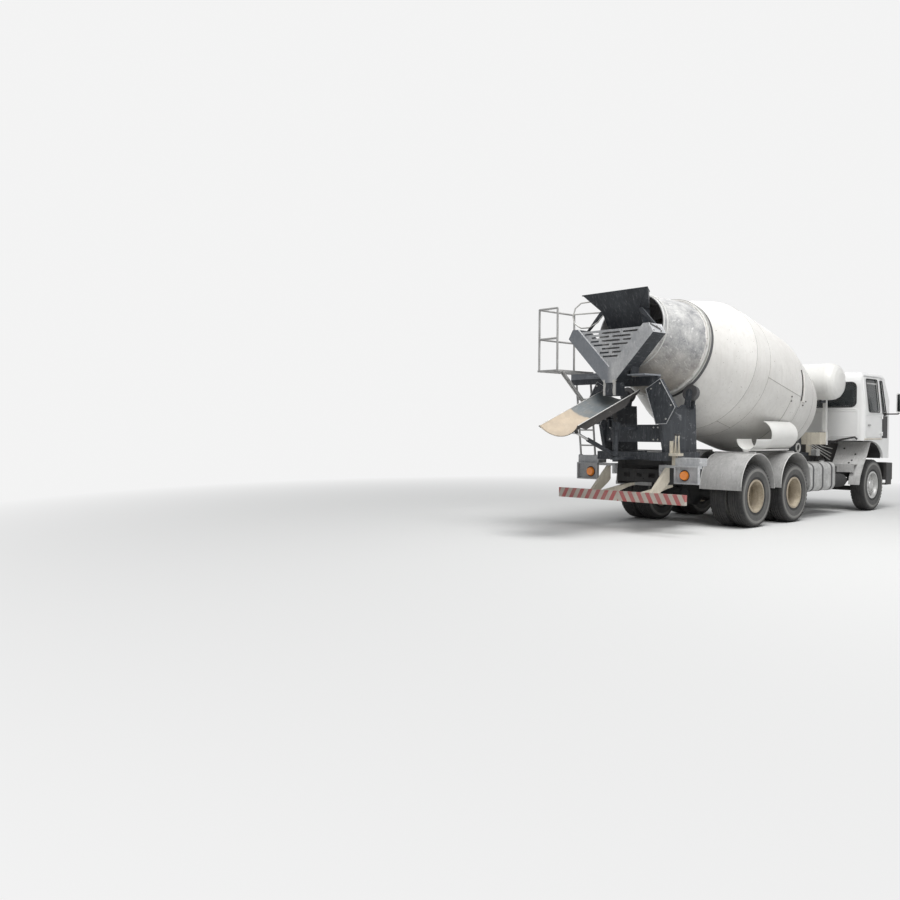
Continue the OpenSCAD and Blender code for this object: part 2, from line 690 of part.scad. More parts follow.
module drum_gearbox() in_row_frame() color("#4a5560") difference() {
    union() {
        on_drum_axis() translate([0, 0, drum_len + 30]) {
            cylinder(h = 60, r = 230);
            cylinder(h = 330, r = 180);
            translate([0, 0, 300]) cylinder(h = 180, r = 110);
        }
        block([gear_x - 54, gear_x + 146], [-pedestal_plate_y[0] + seat, pedestal_plate_y[0] - seat],
            [gear_z - 102, gear_z - 12]);
    }
    on_drum_axis() translate([0, 0, drum_len + 29])
        cylinder(h = trunnion_len - 30 + 2, r = trunnion_r + seat);
}

module front_pedestal() in_row_frame() color("#39424d") {
    block([gear_x - 114, gear_x + 446], [-half_frame, half_frame], [sub_top + seat, sub_top + 60]);
    both_sides() across(pedestal_plate_y) polygon([[gear_x - 94, sub_top + 59],
        [gear_x + 426, sub_top + 59], [gear_x + 286, gear_z - 2], [gear_x - 64, gear_z + 38]]);
    block([gear_x + 86, gear_x + 286], [-241, 241], [sub_top + 480, sub_top + 540]);
}

// Hopper, funnel and chute

// Hopper body between an outline in X and Z, one in Y and Z, and one in plan
funnel_top = 3200;
hopper_z = [funnel_top + 30, funnel_top + 560];

module hopper_form(t) intersection() {
    across([-800, 800]) polygon([[-2340 + t, hopper_z[1] + t], [-2020 + t, hopper_z[0] - t],
        [-1800 - t, hopper_z[0] - t], [-1960 - t, hopper_z[1] + t]]);
    along([-2500, -1700]) polygon([[-620 + t, hopper_z[1] + t], [620 - t, hopper_z[1] + t],
        [352 - t, hopper_z[0] + 250], [330 - t, hopper_z[0] - t], [-330 + t, hopper_z[0] - t],
        [-352 + t, hopper_z[0] + 250]]);
    linear_extrude(4000) polygon([[-2340, -620 + t], [-2340, 620 - t], [-1800, 300 - t],
        [-1800, -300 + t]]);
}

module charge_hopper() in_row_frame() color("#2f353d") difference() {
    union() {
        hopper_form(0);
        both_sides() along([-2165, -2125]) polygon([[622, funnel_top + seat], [658, funnel_top + seat],
            [390, hopper_z[0] + 262], [340, hopper_z[0] + 262], [340, hopper_z[0] + 225]]);
    }
    hopper_form(8);
}

funnel_x = [-2450, -2110];
// Guard plate: rows of slots
slot_rows = 7;
slot_pitch_z = 61;
slot_size = [340, 26];
slot_pitch_y = 400;
guard_top = funnel_top - 40;
wing_foot = funnel_top - 630;
// Inner face of a wing at height z
function wing_in(z) = 620 * (z - wing_foot) / (funnel_top - wing_foot);

// Slots of one row of the guard plate: ends along Y, kept 20 inside the wings
function slots(i) = let (half = wing_in(guard_top - 50 - i * slot_pitch_z) - 20)
    [for (k = [-2:2]) let (y = (k + (i % 2) * 0.5) * slot_pitch_y,
        a = max(y - slot_size[0] / 2, -half), b = min(y + slot_size[0] / 2, half)) if (b - a > 60) [a, b]];

module discharge_funnel() in_row_frame() color("#5d636a") {
    difference() {
        union() {
            both_sides() {
                along(funnel_x) polygon([[wing_in(funnel_top), funnel_top], [720, funnel_top],
                    [800, funnel_top - 140], [90, wing_foot - 240], [-1, wing_foot - 240],
                    [-1, wing_foot], [0, wing_foot]]);
                across([300, 330]) polygon([[shelf_x, shelf_z + seat], [-2120, shelf_z + seat],
                    [-2120, wing_foot + 30], [shelf_x, wing_foot + 30]]);
            }
            along([funnel_x[0] + 40, funnel_x[0] + 48]) polygon([[-wing_in(guard_top) - 6, guard_top],
                [wing_in(guard_top) + 6, guard_top], [6, wing_foot - 10], [-6, wing_foot - 10]]);
            block([-2440, -2180], [-110, 110], [wing_foot - 440, wing_foot - 230]);
        }
        for (i = [0:slot_rows - 1]) for (e = slots(i)) let (z = guard_top - 50 - i * slot_pitch_z)
            block([funnel_x[0] + 30, funnel_x[0] + 60], e, [z - slot_size[1] / 2, z + slot_size[1] / 2]);
        block([-2430, -2190], [-100, 100], [wing_foot - 450, wing_foot - 249]);
        block([funnel_x[0] + 50, -2190], [-70, 70], [wing_foot - 250, wing_foot + 150]);
    }
}

socket_z = [1130, 1600];
post_r = 45;

// Arm with a bored eye for the swivel post
module swivel_socket(z) difference() {
    union() {
        block([swivel_x, -1719], [-60, 60], [z, z + 40]);
        translate([swivel_x, 0, z]) cylinder(h = 40, r = 80);
    }
    translate([swivel_x, 0, z - 1]) cylinder(h = 42, r = post_r + seat);
}

ear_y = [26, 44];
strut_low = [swivel_x - 100, 1230];
strut_u = pivot_u + 920;
strut_drop = 50;
// Upper end of the strut, from the chute's pivot
strut_top = [pivot_x - (strut_u - pivot_u) * cos(chute_slope) - (pivot_drop - strut_drop) * sin(chute_slope),
    pivot_z - (strut_u - pivot_u) * sin(chute_slope) + (pivot_drop - strut_drop) * cos(chute_slope)];
strut_len = norm(strut_top - strut_low);
strut_angle = atan2(strut_top[1] - strut_low[1], strut_low[0] - strut_top[0]);
pivot_pin_r = 20;
strut_pin_r = 14;
rod_r = 20;
rod_eye_slack = 6;

module chute_swivel() in_row_frame() color("#3b434c") {
    translate([swivel_x, 0, socket_z[0] - 30]) cylinder(h = socket_z[1] - socket_z[0] + 140, r = post_r);
    translate([swivel_x, 0, socket_z[1] + 40 + seat]) cylinder(h = 70, r = 80);
    both_sides() across([25, 55]) polygon([[pivot_x - 35, socket_z[1] + 41], [swivel_x, socket_z[1] + 41],
        [swivel_x, socket_z[1] + 110], [pivot_x + 35, pivot_z], [pivot_x, pivot_z + 35],
        [pivot_x - 35, pivot_z]]);
    translate([pivot_x, 90, pivot_z]) rotate([90, 0, 0]) cylinder(h = 180, r = pivot_pin_r);
    both_sides() across(ear_y) polygon([[strut_low[0] - 30, strut_low[1] - 20],
        [strut_low[0] - 10, strut_low[1] - 35], [swivel_x, strut_low[1] - 50],
        [swivel_x, strut_low[1] + 50],
        [strut_low[0] - 10, strut_low[1] + 35], [strut_low[0] - 30, strut_low[1] + 20]]);
    translate([strut_low[0], ear_y[1], strut_low[1]]) rotate([90, 0, 0])
        cylinder(h = 2 * ear_y[1], r = strut_pin_r);
}

// Chute frame: local X runs down the chute from its upper end, local Z is out of the trough,
// the rims lie at Z = 0
module on_chute() translate([pivot_x, 0, pivot_z]) rotate([0, -chute_slope, 0])
    mirror([1, 0, 0]) translate([-pivot_u, 0, chute_depth + pivot_drop]) children();

chute_t = 8;
rim_out = 14;

module chute() in_row_frame() color("#6f6a62") on_chute() {
    intersection() {
        union() {
            difference() {
                translate([0, 0, trough_r - chute_depth]) rotate([0, 90, 0])
                    cylinder(h = chute_len, r = trough_r, $fn = 128);
                translate([-1, 0, trough_r - chute_depth]) rotate([0, 90, 0])
                    cylinder(h = chute_len + 2, r = trough_r - chute_t, $fn = 128);
                translate([-1, -trough_r - 1, 0]) cube([chute_len + 2, 2 * trough_r + 2, 2 * trough_r]);
            }
            both_sides() block([0, chute_len], [chute_half - rim_out, chute_half + rim_out], [-12, 0]);
        }
        translate([0, 0, -chute_depth - 1]) linear_extrude(chute_depth + 2) union() {
            translate([pivot_u - 239, 0]) circle(chute_half + rim_out, $fn = 96);
            translate([pivot_u - 239, -chute_half - rim_out])
                square([chute_len, 2 * (chute_half + rim_out)]);
        }
    }
    both_sides() difference() {
        across([62, 82]) translate([pivot_u, -chute_depth - pivot_drop]) {
            circle(40);
            translate([-40, 0]) square([80, pivot_drop + 11]);
        }
        translate([pivot_u, 100, -chute_depth - pivot_drop]) rotate([90, 0, 0])
            cylinder(h = 100, r = pivot_pin_r + seat);
    }
    both_sides() across(ear_y) translate([strut_u, -chute_depth - strut_drop]) {
        circle(26);
        translate([-26, 0]) square([52, strut_drop + 6]);
    }
    translate([strut_u, ear_y[1], -chute_depth - strut_drop]) rotate([90, 0, 0])
        cylinder(h = 2 * ear_y[1], r = strut_pin_r);
}

// Strut frame: local Z runs from the lower pin to the upper one
module on_strut() translate([strut_low[0], 0, strut_low[1]]) rotate([0, strut_angle - 90, 0]) children();

barrel_r = 34;
barrel_end = strut_len - 330;
rod_start = 200;

// Eye across Y at a strut's end
module eye(z, r, bore) difference() {
    translate([0, 22, z]) rotate([90, 0, 0]) cylinder(h = 44, r = r);
    translate([0, 23, z]) rotate([90, 0, 0]) cylinder(h = 46, r = bore);
}

module strut_barrel() in_row_frame() color("#4a4d50") on_strut() {
    eye(0, 30, strut_pin_r + seat);
    translate([0, 0, 27]) cylinder(h = 30, r = 20);
    difference() {
        translate([0, 0, 54]) cylinder(h = barrel_end - 54, r = barrel_r);
        translate([0, 0, 80]) cylinder(h = barrel_end, r = rod_r + seat);
    }
}

module strut_rod() in_row_frame() color("#9a9a9a") on_strut() {
    translate([0, 0, rod_start]) cylinder(h = strut_len - rod_start - 26, r = rod_r);
    eye(strut_len, 31, strut_pin_r + rod_eye_slack);
}

// Platform, levers and tanks

platform_x = [-2750, -1820];
platform_y = [780, 1200];
platform_z = [2530, 2560];
rail_top_z = 3540;
tube_r = 17;

module platform() in_row_frame() color("#8b8d8e") {
    x = platform_x;
    y = platform_y;
    z = platform_z;
    difference() {
        block(x, y, z);
        for (i = [0:6]) block([x[0] + 60 + i * 115, x[0] + 150 + i * 115], [y[0] + 40, y[1] - 40],
            [z[0] - 1, z[1] + 1]);
    }
    for (p = [[x[0] + 20, y[0] + 20], [x[0] + 20, y[1] - 20], [x[1] - 20, y[1] - 20]])
        rod([p[0], p[1], z[1] - 1], [p[0], p[1], rail_top_z], tube_r);
    for (h = [rail_top_z, z[1] + 500])
        pipe([[x[0] + 20, y[0] + 20, h], [x[0] + 20, y[1] - 20, h], [x[1] - 20, y[1] - 20, h]], tube_r);
    for (s = [y[0] + 10, y[0] + 60]) rod([x[0] + 150, s, z[0] + 2], [lambda_x[0] - 14, s, 2000], tube_r);
    block([lambda_x[0] - 18, lambda_x[0] - seat], [y[0] - 10, y[0] + 80], [1960, 2040]);
    for (s = [830, 1130]) rod([-1690, s, arm_z + 160 + seat + 4], [x[1] - 25, s, z[0] + 5], tube_r);
    for (i = [0:4]) let (k = 0.12 + i * 0.19)
        rod([-1690 + k * (x[1] + 1665), 830, arm_z + 164 + k * (z[0] - arm_z - 160)],
            [-1690 + k * (x[1] + 1665), 1130, arm_z + 164 + k * (z[0] - arm_z - 160)], 13);
    for (s = [830, 1130]) block([-1715, -1665], [s - 25, s + 25], [arm_z + 160 + seat, arm_z + 172]);
}

// Levers: distance from the centre line, lean in degrees
levers = [[-810, -8], [-778, 6], [-746, -4], [-714, 10]];

module lever_box() in_row_frame() color("#cbc4b0") {
    z = arm_z + 40 + seat;
    block([-1700, -1640], [-735, -665], [z, z + 150]);
    block([-1790, -1640], [-830, -665], [z + 149, z + 190]);
    for (l = levers) translate([-1715, l[0], z + 180]) rotate([0, l[1], 0]) cylinder(h = 300, r = 9);
    block([-1770, -1690], [-685, -665], [z + 189, z + 380]);
}

tank_x = 3720;
tank_z = 2580;
stand_x = [3600, 3950];
stand_z = 1340;
post_y = [560, 620];

module water_tank() in_row_frame() {
    color("#e4e3df") {
        r = water_r;
        h = water_len / 2;
        translate([tank_x, 0, tank_z]) rotate([90, 0, 0]) rotate_extrude($fn = 72)
            polygon([[0, -h], [r * 0.45, -h + 12], [r * 0.72, -h + 42], [r * 0.89, -h + 90],
                [r * 0.97, -h + 150], [r, -h + 210], [r, h - 210], [r * 0.97, h - 150], [r * 0.89, h - 90],
                [r * 0.72, h - 42], [r * 0.45, h - 12], [0, h]]);
    }
    color("#cfc8b6") {
        difference() {
            block(stand_x, [-post_y[1], post_y[1]], [stand_z, stand_z + 240]);
            block([stand_x[0] + 8, stand_x[1] + 1], [-post_y[1] - 1, post_y[1] + 1],
                [stand_z + 8, stand_z + 232]);
        }
        both_sides() {
            block([stand_x[0], stand_x[0] + 90], [half_frame - 80, half_frame], [sub_top + seat, stand_z + 1]);
            difference() {
                block([tank_x - 60, tank_x + 230], post_y, [stand_z + 239, tank_z - 130]);
                translate([tank_x, 0, tank_z]) rotate([90, 0, 0])
                    cylinder(h = 2 * post_y[1] + 2, r = water_r - 6, center = true, $fn = 72);
                block([tank_x - 61, tank_x + 150], [post_y[0] - 1, post_y[1] + 1], [stand_z + 250, 2170]);
            }
        }
    }
}

spare_r = 250;
spare_x = [530, 1470];
spare_y = 930;
spare_z = 1530;

// Half trough along X, open towards the angle a
module trough(x, r, t, a) along(x) rotate(a) difference() {
    circle(r, $fn = 64);
    circle(r - t, $fn = 64);
    translate([0, -2 * r]) square([4 * r, 4 * r]);
}

module spare_chutes() in_row_frame() color("#dedbd2") mirror([0, 1, 0]) {
    translate([0, spare_y, spare_z]) trough(spare_x, spare_r, 6, 160);
    translate([0, spare_y + 70, 1460]) trough([0, 500], 180, 6, 90);
    block([-20, 1400], [spare_y + 10, spare_y + 130], [fender_top + 16, spare_z - spare_r + 8]);
    for (x = rear_axles) block([x - 20, x + 20], [spare_y + 30, spare_y + 110],
        [fender_top + seat, fender_top + 17]);
}

// Cab

function cab_plan(i) = concat(
    arc([cab_rear + 90, half_cab - 90], 90 - i, 180, 90, 4),
    arc([cab_front - 340, half_cab - 340], 340 - i, 90, 0, 8),
    arc([cab_front - 340, -half_cab + 340], 340 - i, 0, -90, 8),
    arc([cab_rear + 90, -half_cab + 90], 90 - i, -90, -180, 4));

function cab_side(i, z0) = concat(
    [[cab_rear + i, z0], [cab_rear + i, roof_z - 240]],
    arc([cab_rear + 240, roof_z - 240], 240 - i, 180, 90, 6),
    [[cab_front - 580, roof_z - i], [cab_front - 430 - i * 0.6, roof_z - 35 - i],
    [cab_front - 365 - i, roof_z - 95 - i * 0.6], [cab_front - 100 - i, 1930],
    [cab_front - i, 1560], [cab_front - i, z0]]);

function cab_face(i, z0) = concat(
    [[-half_cab + i, z0], [-half_cab + i, 2000]],
    arc([-half_cab + 195, roof_z - 120], 120 - i, 180, 90, 5),
    arc([half_cab - 195, roof_z - 120], 120 - i, 90, 0, 5),
    [[half_cab - i, 2000], [half_cab - i, z0]]);

module cab_form(i, z0) intersection() {
    linear_extrude(roof_z) polygon(cab_plan(i));
    across([-half_cab - 1, half_cab + 1]) polygon(cab_side(i, z0));
    along([cab_rear - 1, cab_front + 1]) polygon(cab_face(i, z0));
}

// Window openings, each larger by g than its pane
module front_window(g) along([cab_front - 600, cab_front + 10])
    rounded([-1010 - g, 1990 - g], [1010 + g, 2640 + g], 90);
module rear_window(g) along([cab_rear - 10, cab_rear + 100])
    rounded([-1020 - g, 2115 - g], [1020 + g, 2570 + g], 80);
module quarter_window(g) across([half_cab - 200, half_cab + 10])
    polygon([[door_x[1] + 70 - g, 1980 - g], [cab_front - 450 + g, 1980 - g],
        [cab_front - 520 + g, 2640 + g], [door_x[1] + 70 - g, 2640 + g]]);
module door_window(g) across([half_cab - 200, half_cab + 10])
    rounded([door_x[0] + 110 - g, 2000 - g], [door_x[1] - 75 + g, 2655 + g], 40);
module door_prism(g) block([door_x[0] - g, door_x[1] + g], [half_cab - 220, half_cab + 10],
    [door_z[0] - g, door_z[1] + g]);

// Edge of the wheel arch in the cab's skirt, in X from the front axle and Z
arch_line = [[-166, floor_z + 1], [-160, 1412], [20, 1385], [195, 1322], [320, 1240], [390, 1160],
    [414, nose_z]];

module cab_shell() in_row_frame() color("#e9e9e7") difference() {
    union() {
        difference() {
            cab_form(0, floor_z);
            cab_form(cab_wall, floor_z + cab_wall);
        }
        difference() {
            intersection() {
                linear_extrude(roof_z) polygon(cab_plan(0));
                across([-half_cab, half_cab]) polygon(concat([for (p = arch_line) [front_x + p[0], p[1]]],
                    [[cab_front, nose_z], [cab_front, floor_z + 1]]));
            }
            intersection() {
                linear_extrude(roof_z) polygon(cab_plan(cab_wall));
                block([front_x - 200, cab_front], [-half_cab, half_cab], [nose_z - 10, floor_z - 5]);
            }
        }
        both_sides() {
            tilt_lug();
            hinge_base();
        }
    }
    front_window(0);
    rear_window(0);
    both_sides() quarter_window(0);
    both_sides() door_prism(0);
    both_sides() translate([tilt_pin[0], half_frame, tilt_pin[1]]) rotate([90, 0, 0])
        cylinder(h = 200, r = tilt_pin_r + seat);
}

// Cab side of the tilt hinge
module tilt_lug() across([half_frame - 83, half_frame - 50]) {
    translate(tilt_pin) circle(40);
    polygon([[tilt_pin[0] - 40, tilt_pin[1]], [tilt_pin[0] + 40, tilt_pin[1]],
        [cab_front - 10, tilt_pin[1] + 80], [cab_front - 10, floor_z + 1],
        [tilt_pin[0] - 50, floor_z + 1]]);
}

module pane_layer() difference() {
    cab_form(15, floor_z + 20);
    cab_form(21, floor_z + 20);
}

module cab_glass() in_row_frame() color("#2a3236") intersection() {
    pane_layer();
    union() {
        front_window(-seat);
        rear_window(-seat);
        both_sides() quarter_window(-seat);
    }
}

seat_y = [350, 850];
dash_half = 1000;
wheel_at = [cab_front - 560, 600, floor_z + 560];

module cab_interior() in_row_frame() color("#2f3032") {
    f = floor_z + cab_wall + seat;
    both_sides() {
        block([cab_rear + 300, cab_rear + 760], [seat_y[0] + 60, seat_y[1] - 60], [f, f + 260]);
        across(seat_y) polygon([[cab_rear + 230, f + 255], [cab_rear + 780, f + 255], [cab_rear + 800, f + 320],
            [cab_rear + 770, f + 380], [cab_rear + 360, f + 360], [cab_rear + 270, f + 940],
            [cab_rear + 220, f + 990], [cab_rear + 150, f + 970], [cab_rear + 150, f + 900]]);
    }
    across([-dash_half, dash_half]) polygon([[cab_front - 280, floor_z + 100], [cab_front - 120, floor_z + 100],
        [cab_front - 170, 1890], [cab_front - 360, 1870], [cab_front - 400, 1780], [cab_front - 340, 1700]]);
    block([cab_front - 260, cab_front - 140], [-200, 200], [f, floor_z + 101]);
    rod(wheel_at, [cab_front - 330, wheel_at[1], wheel_at[2] - 170], 28);
    translate(wheel_at) rotate([0, -52, 0]) {
        rotate_extrude($fn = 48) translate([225, 0]) circle(14, $fn = 16);
        for (a = [0, 90]) rotate([0, 0, a]) block([-222, 222], [-12, 12], [-8, 8]);
    }
}

mirror_y = [1410, 1590];
mirror_x = [5350, 5410];

module mirrors() in_row_frame() color("#dcdcda") both_sides() {
    along(mirror_x) rounded([mirror_y[0], 1990], [mirror_y[1], 2390], 40);
    block([mirror_x[0] - 70, mirror_x[0] - 20], [half_cab + seat, half_cab + 25], [1930, 2000]);
    pipe([[mirror_x[0] - 45, half_cab + 20, 1965], [mirror_x[0] - 45, mirror_y[0] + 60, 1965],
        [mirror_x[0] + 30, mirror_y[0] + 60, 1995]], 14);
}

hinge_at = [door_x[1] + 10, half_cab + 17];
hinge_z = [1560, 1900];
hinge_r = 16;
hinge_pin_r = 8;

// Cab side of a door hinge: pin on a base block
module hinge_base() for (z = hinge_z) {
    translate([hinge_at[0], hinge_at[1], z - 40]) cylinder(h = 40, r = hinge_r);
    translate([hinge_at[0], hinge_at[1], z - 1]) cylinder(h = 41, r = hinge_pin_r);
    block([hinge_at[0], hinge_at[0] + 34], [half_cab - 1, hinge_at[1]], [z - 40, z]);
}

// Door side of a hinge: bored knuckle on a strap
module hinge_leaf() for (z = hinge_z) difference() {
    union() {
        translate([hinge_at[0], hinge_at[1], z + 1]) cylinder(h = 39, r = hinge_r);
        block([hinge_at[0] - 100, hinge_at[0]], [half_cab + seat, half_cab + 9], [z + 1, z + 40]);
        block([hinge_at[0] - 100, hinge_at[0] - 30], [half_cab - 1, half_cab + 8], [z + 1, z + 40]);
    }
    translate([hinge_at[0], hinge_at[1], z]) cylinder(h = 42, r = hinge_pin_r + seat);
}

module door(side) in_row_frame() color("#e9e9e7") mirror([0, side < 0 ? 1 : 0, 0]) {
    difference() {
        intersection() {
            difference() {
                cab_form(0, floor_z);
                cab_form(cab_wall, floor_z + cab_wall);
            }
            door_prism(-door_gap);
            translate(hinge_at) cylinder(h = roof_z, r = hinge_at[0] - door_x[0] - door_gap, $fn = 180);
        }
        door_window(0);
    }
    hinge_leaf();
}

module door_glass(side) in_row_frame() color("#2a3236") mirror([0, side < 0 ? 1 : 0, 0])
    intersection() {
        pane_layer();
        door_window(-seat);
    }

module door_left() door(1);
module door_right() door(-1);
module door_glass_left() door_glass(1);
module door_glass_right() door_glass(-1);

frame_rails();
subframe();
front_axle();
tandem_axles();
drive_line();
engine_block();
fuel_tank();
air_tanks();
battery_box();
exhaust();
front_bumper();
front_mudguards();
rear_fenders();
underrun_bar();
tail_lamps();
lamp_lenses();
front_pedestal();
drum_gearbox();
rear_pedestal();
charge_hopper();
discharge_funnel();
platform();
lever_box();
water_tank();
spare_chutes();
cab_shell();
cab_glass();
cab_interior();
mirrors();
door_left();
door_glass_left();
door_right();
door_glass_right();
knuckle_left();
knuckle_right();
tyre_front_left();
tyre_front_right();
tyre_mid_left();
tyre_mid_right();
tyre_rear_left();
tyre_rear_right();
rim_front_left();
rim_front_right();
rim_mid_left();
rim_mid_right();
rim_rear_left();
rim_rear_right();
drum_shell();
drum_ring();
roller_left();
roller_right();
chute_swivel();
chute();
strut_barrel();
strut_rod();
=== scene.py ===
"""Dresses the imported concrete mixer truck: finishes, tyres, seams, bolts, trim, studio.

Sizes are metres in the row frame: +X forward, +Y left, +Z up. Places along the truck are
written from the rearmost axle and moved by ``Place``.
"""

from __future__ import annotations

import logging
import math
from dataclasses import dataclass, field
from enum import Enum
from functools import cache
from typing import Callable, Sequence

import bmesh
import bpy
from mathutils import Matrix, Vector

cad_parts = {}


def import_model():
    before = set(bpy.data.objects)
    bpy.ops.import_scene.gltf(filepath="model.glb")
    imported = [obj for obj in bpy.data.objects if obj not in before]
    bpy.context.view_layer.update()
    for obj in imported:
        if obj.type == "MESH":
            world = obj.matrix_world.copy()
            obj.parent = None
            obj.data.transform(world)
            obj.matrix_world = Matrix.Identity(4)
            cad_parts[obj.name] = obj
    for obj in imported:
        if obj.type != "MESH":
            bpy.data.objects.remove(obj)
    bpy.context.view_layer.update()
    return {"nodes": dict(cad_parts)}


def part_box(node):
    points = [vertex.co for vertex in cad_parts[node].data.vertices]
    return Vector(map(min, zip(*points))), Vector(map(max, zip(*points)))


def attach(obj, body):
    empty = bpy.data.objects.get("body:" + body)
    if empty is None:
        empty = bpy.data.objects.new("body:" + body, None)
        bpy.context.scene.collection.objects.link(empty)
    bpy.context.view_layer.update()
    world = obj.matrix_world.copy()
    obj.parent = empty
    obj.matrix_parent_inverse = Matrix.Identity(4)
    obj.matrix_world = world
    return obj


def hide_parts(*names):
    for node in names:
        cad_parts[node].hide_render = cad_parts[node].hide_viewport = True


LOG = logging.getLogger("mixer")
Colour = tuple[float, float, float]
Point = tuple[float, float, float]
Outline = Sequence[tuple[float, float]]
Shape = tuple[list[Vector], list[list[int]]]
Spots = Sequence[tuple[Vector, Vector]]
Nodes = dict[str, bpy.types.Object]
Socket = bpy.types.NodeSocket


class Side(Enum):
    """Side of the truck, as the sign of Y."""

    LEFT = 1
    RIGHT = -1

    @property
    def word(self) -> str:
        """Word that body and node names end with."""
        return self.name.lower()


BOTH = (Side.LEFT, Side.RIGHT)
MID_AXLE = 1.36
FRONT_AXLE = 4.86
HIGHEST = 3.8609  # Top of the CAD box, less half of a seam


# Places


@dataclass(frozen=True)
class Place:
    """Moves a point measured from the rearmost axle into the row frame."""

    axle_x: float

    def at(self, x: float, y: float, z: float) -> Vector:
        """Row-frame point of a place measured from the rearmost axle.

        Args:
            x: Distance ahead of the rearmost axle.
            y: Distance to the left of the centre line.
            z: Height above the ground.

        Returns:
            The point in the row frame.
        """
        return Vector((x + self.axle_x, y, z))

    def many(self, points: Sequence[Point]) -> list[Vector]:
        """Row-frame points of several places."""
        return [self.at(*p) for p in points]


@dataclass(frozen=True)
class DrumAxis:
    """The drum's axis: a start at the mouth and a slope, as in the solids."""

    place: Place
    mouth: Point = (-1.889, 0.0, 3.193)
    slope: float = math.radians(13.5)

    @property
    def along(self) -> Vector:
        """Unit vector from the mouth to the front head."""
        return Vector((math.cos(self.slope), 0.0, -math.sin(self.slope)))

    @property
    def down(self) -> Vector:
        """Unit vector square to the axis, towards the ground."""
        return Vector((-math.sin(self.slope), 0.0, -math.cos(self.slope)))

    @property
    def start(self) -> Vector:
        """Mouth centre in the row frame."""
        return self.place.at(*self.mouth)

    def at(self, s: float, r: float, angle: float) -> Vector:
        """Point at a distance along the axis, a radius and an angle from straight down.

        Args:
            s: Distance from the mouth.
            r: Distance from the axis.
            angle: Turn from straight down, in degrees, towards the left.

        Returns:
            The point in the row frame.
        """
        a = math.radians(angle)
        out = self.down * math.cos(a) + Vector((0, 1, 0)) * math.sin(a)
        return self.start + self.along * s + out * r


# Material nodes


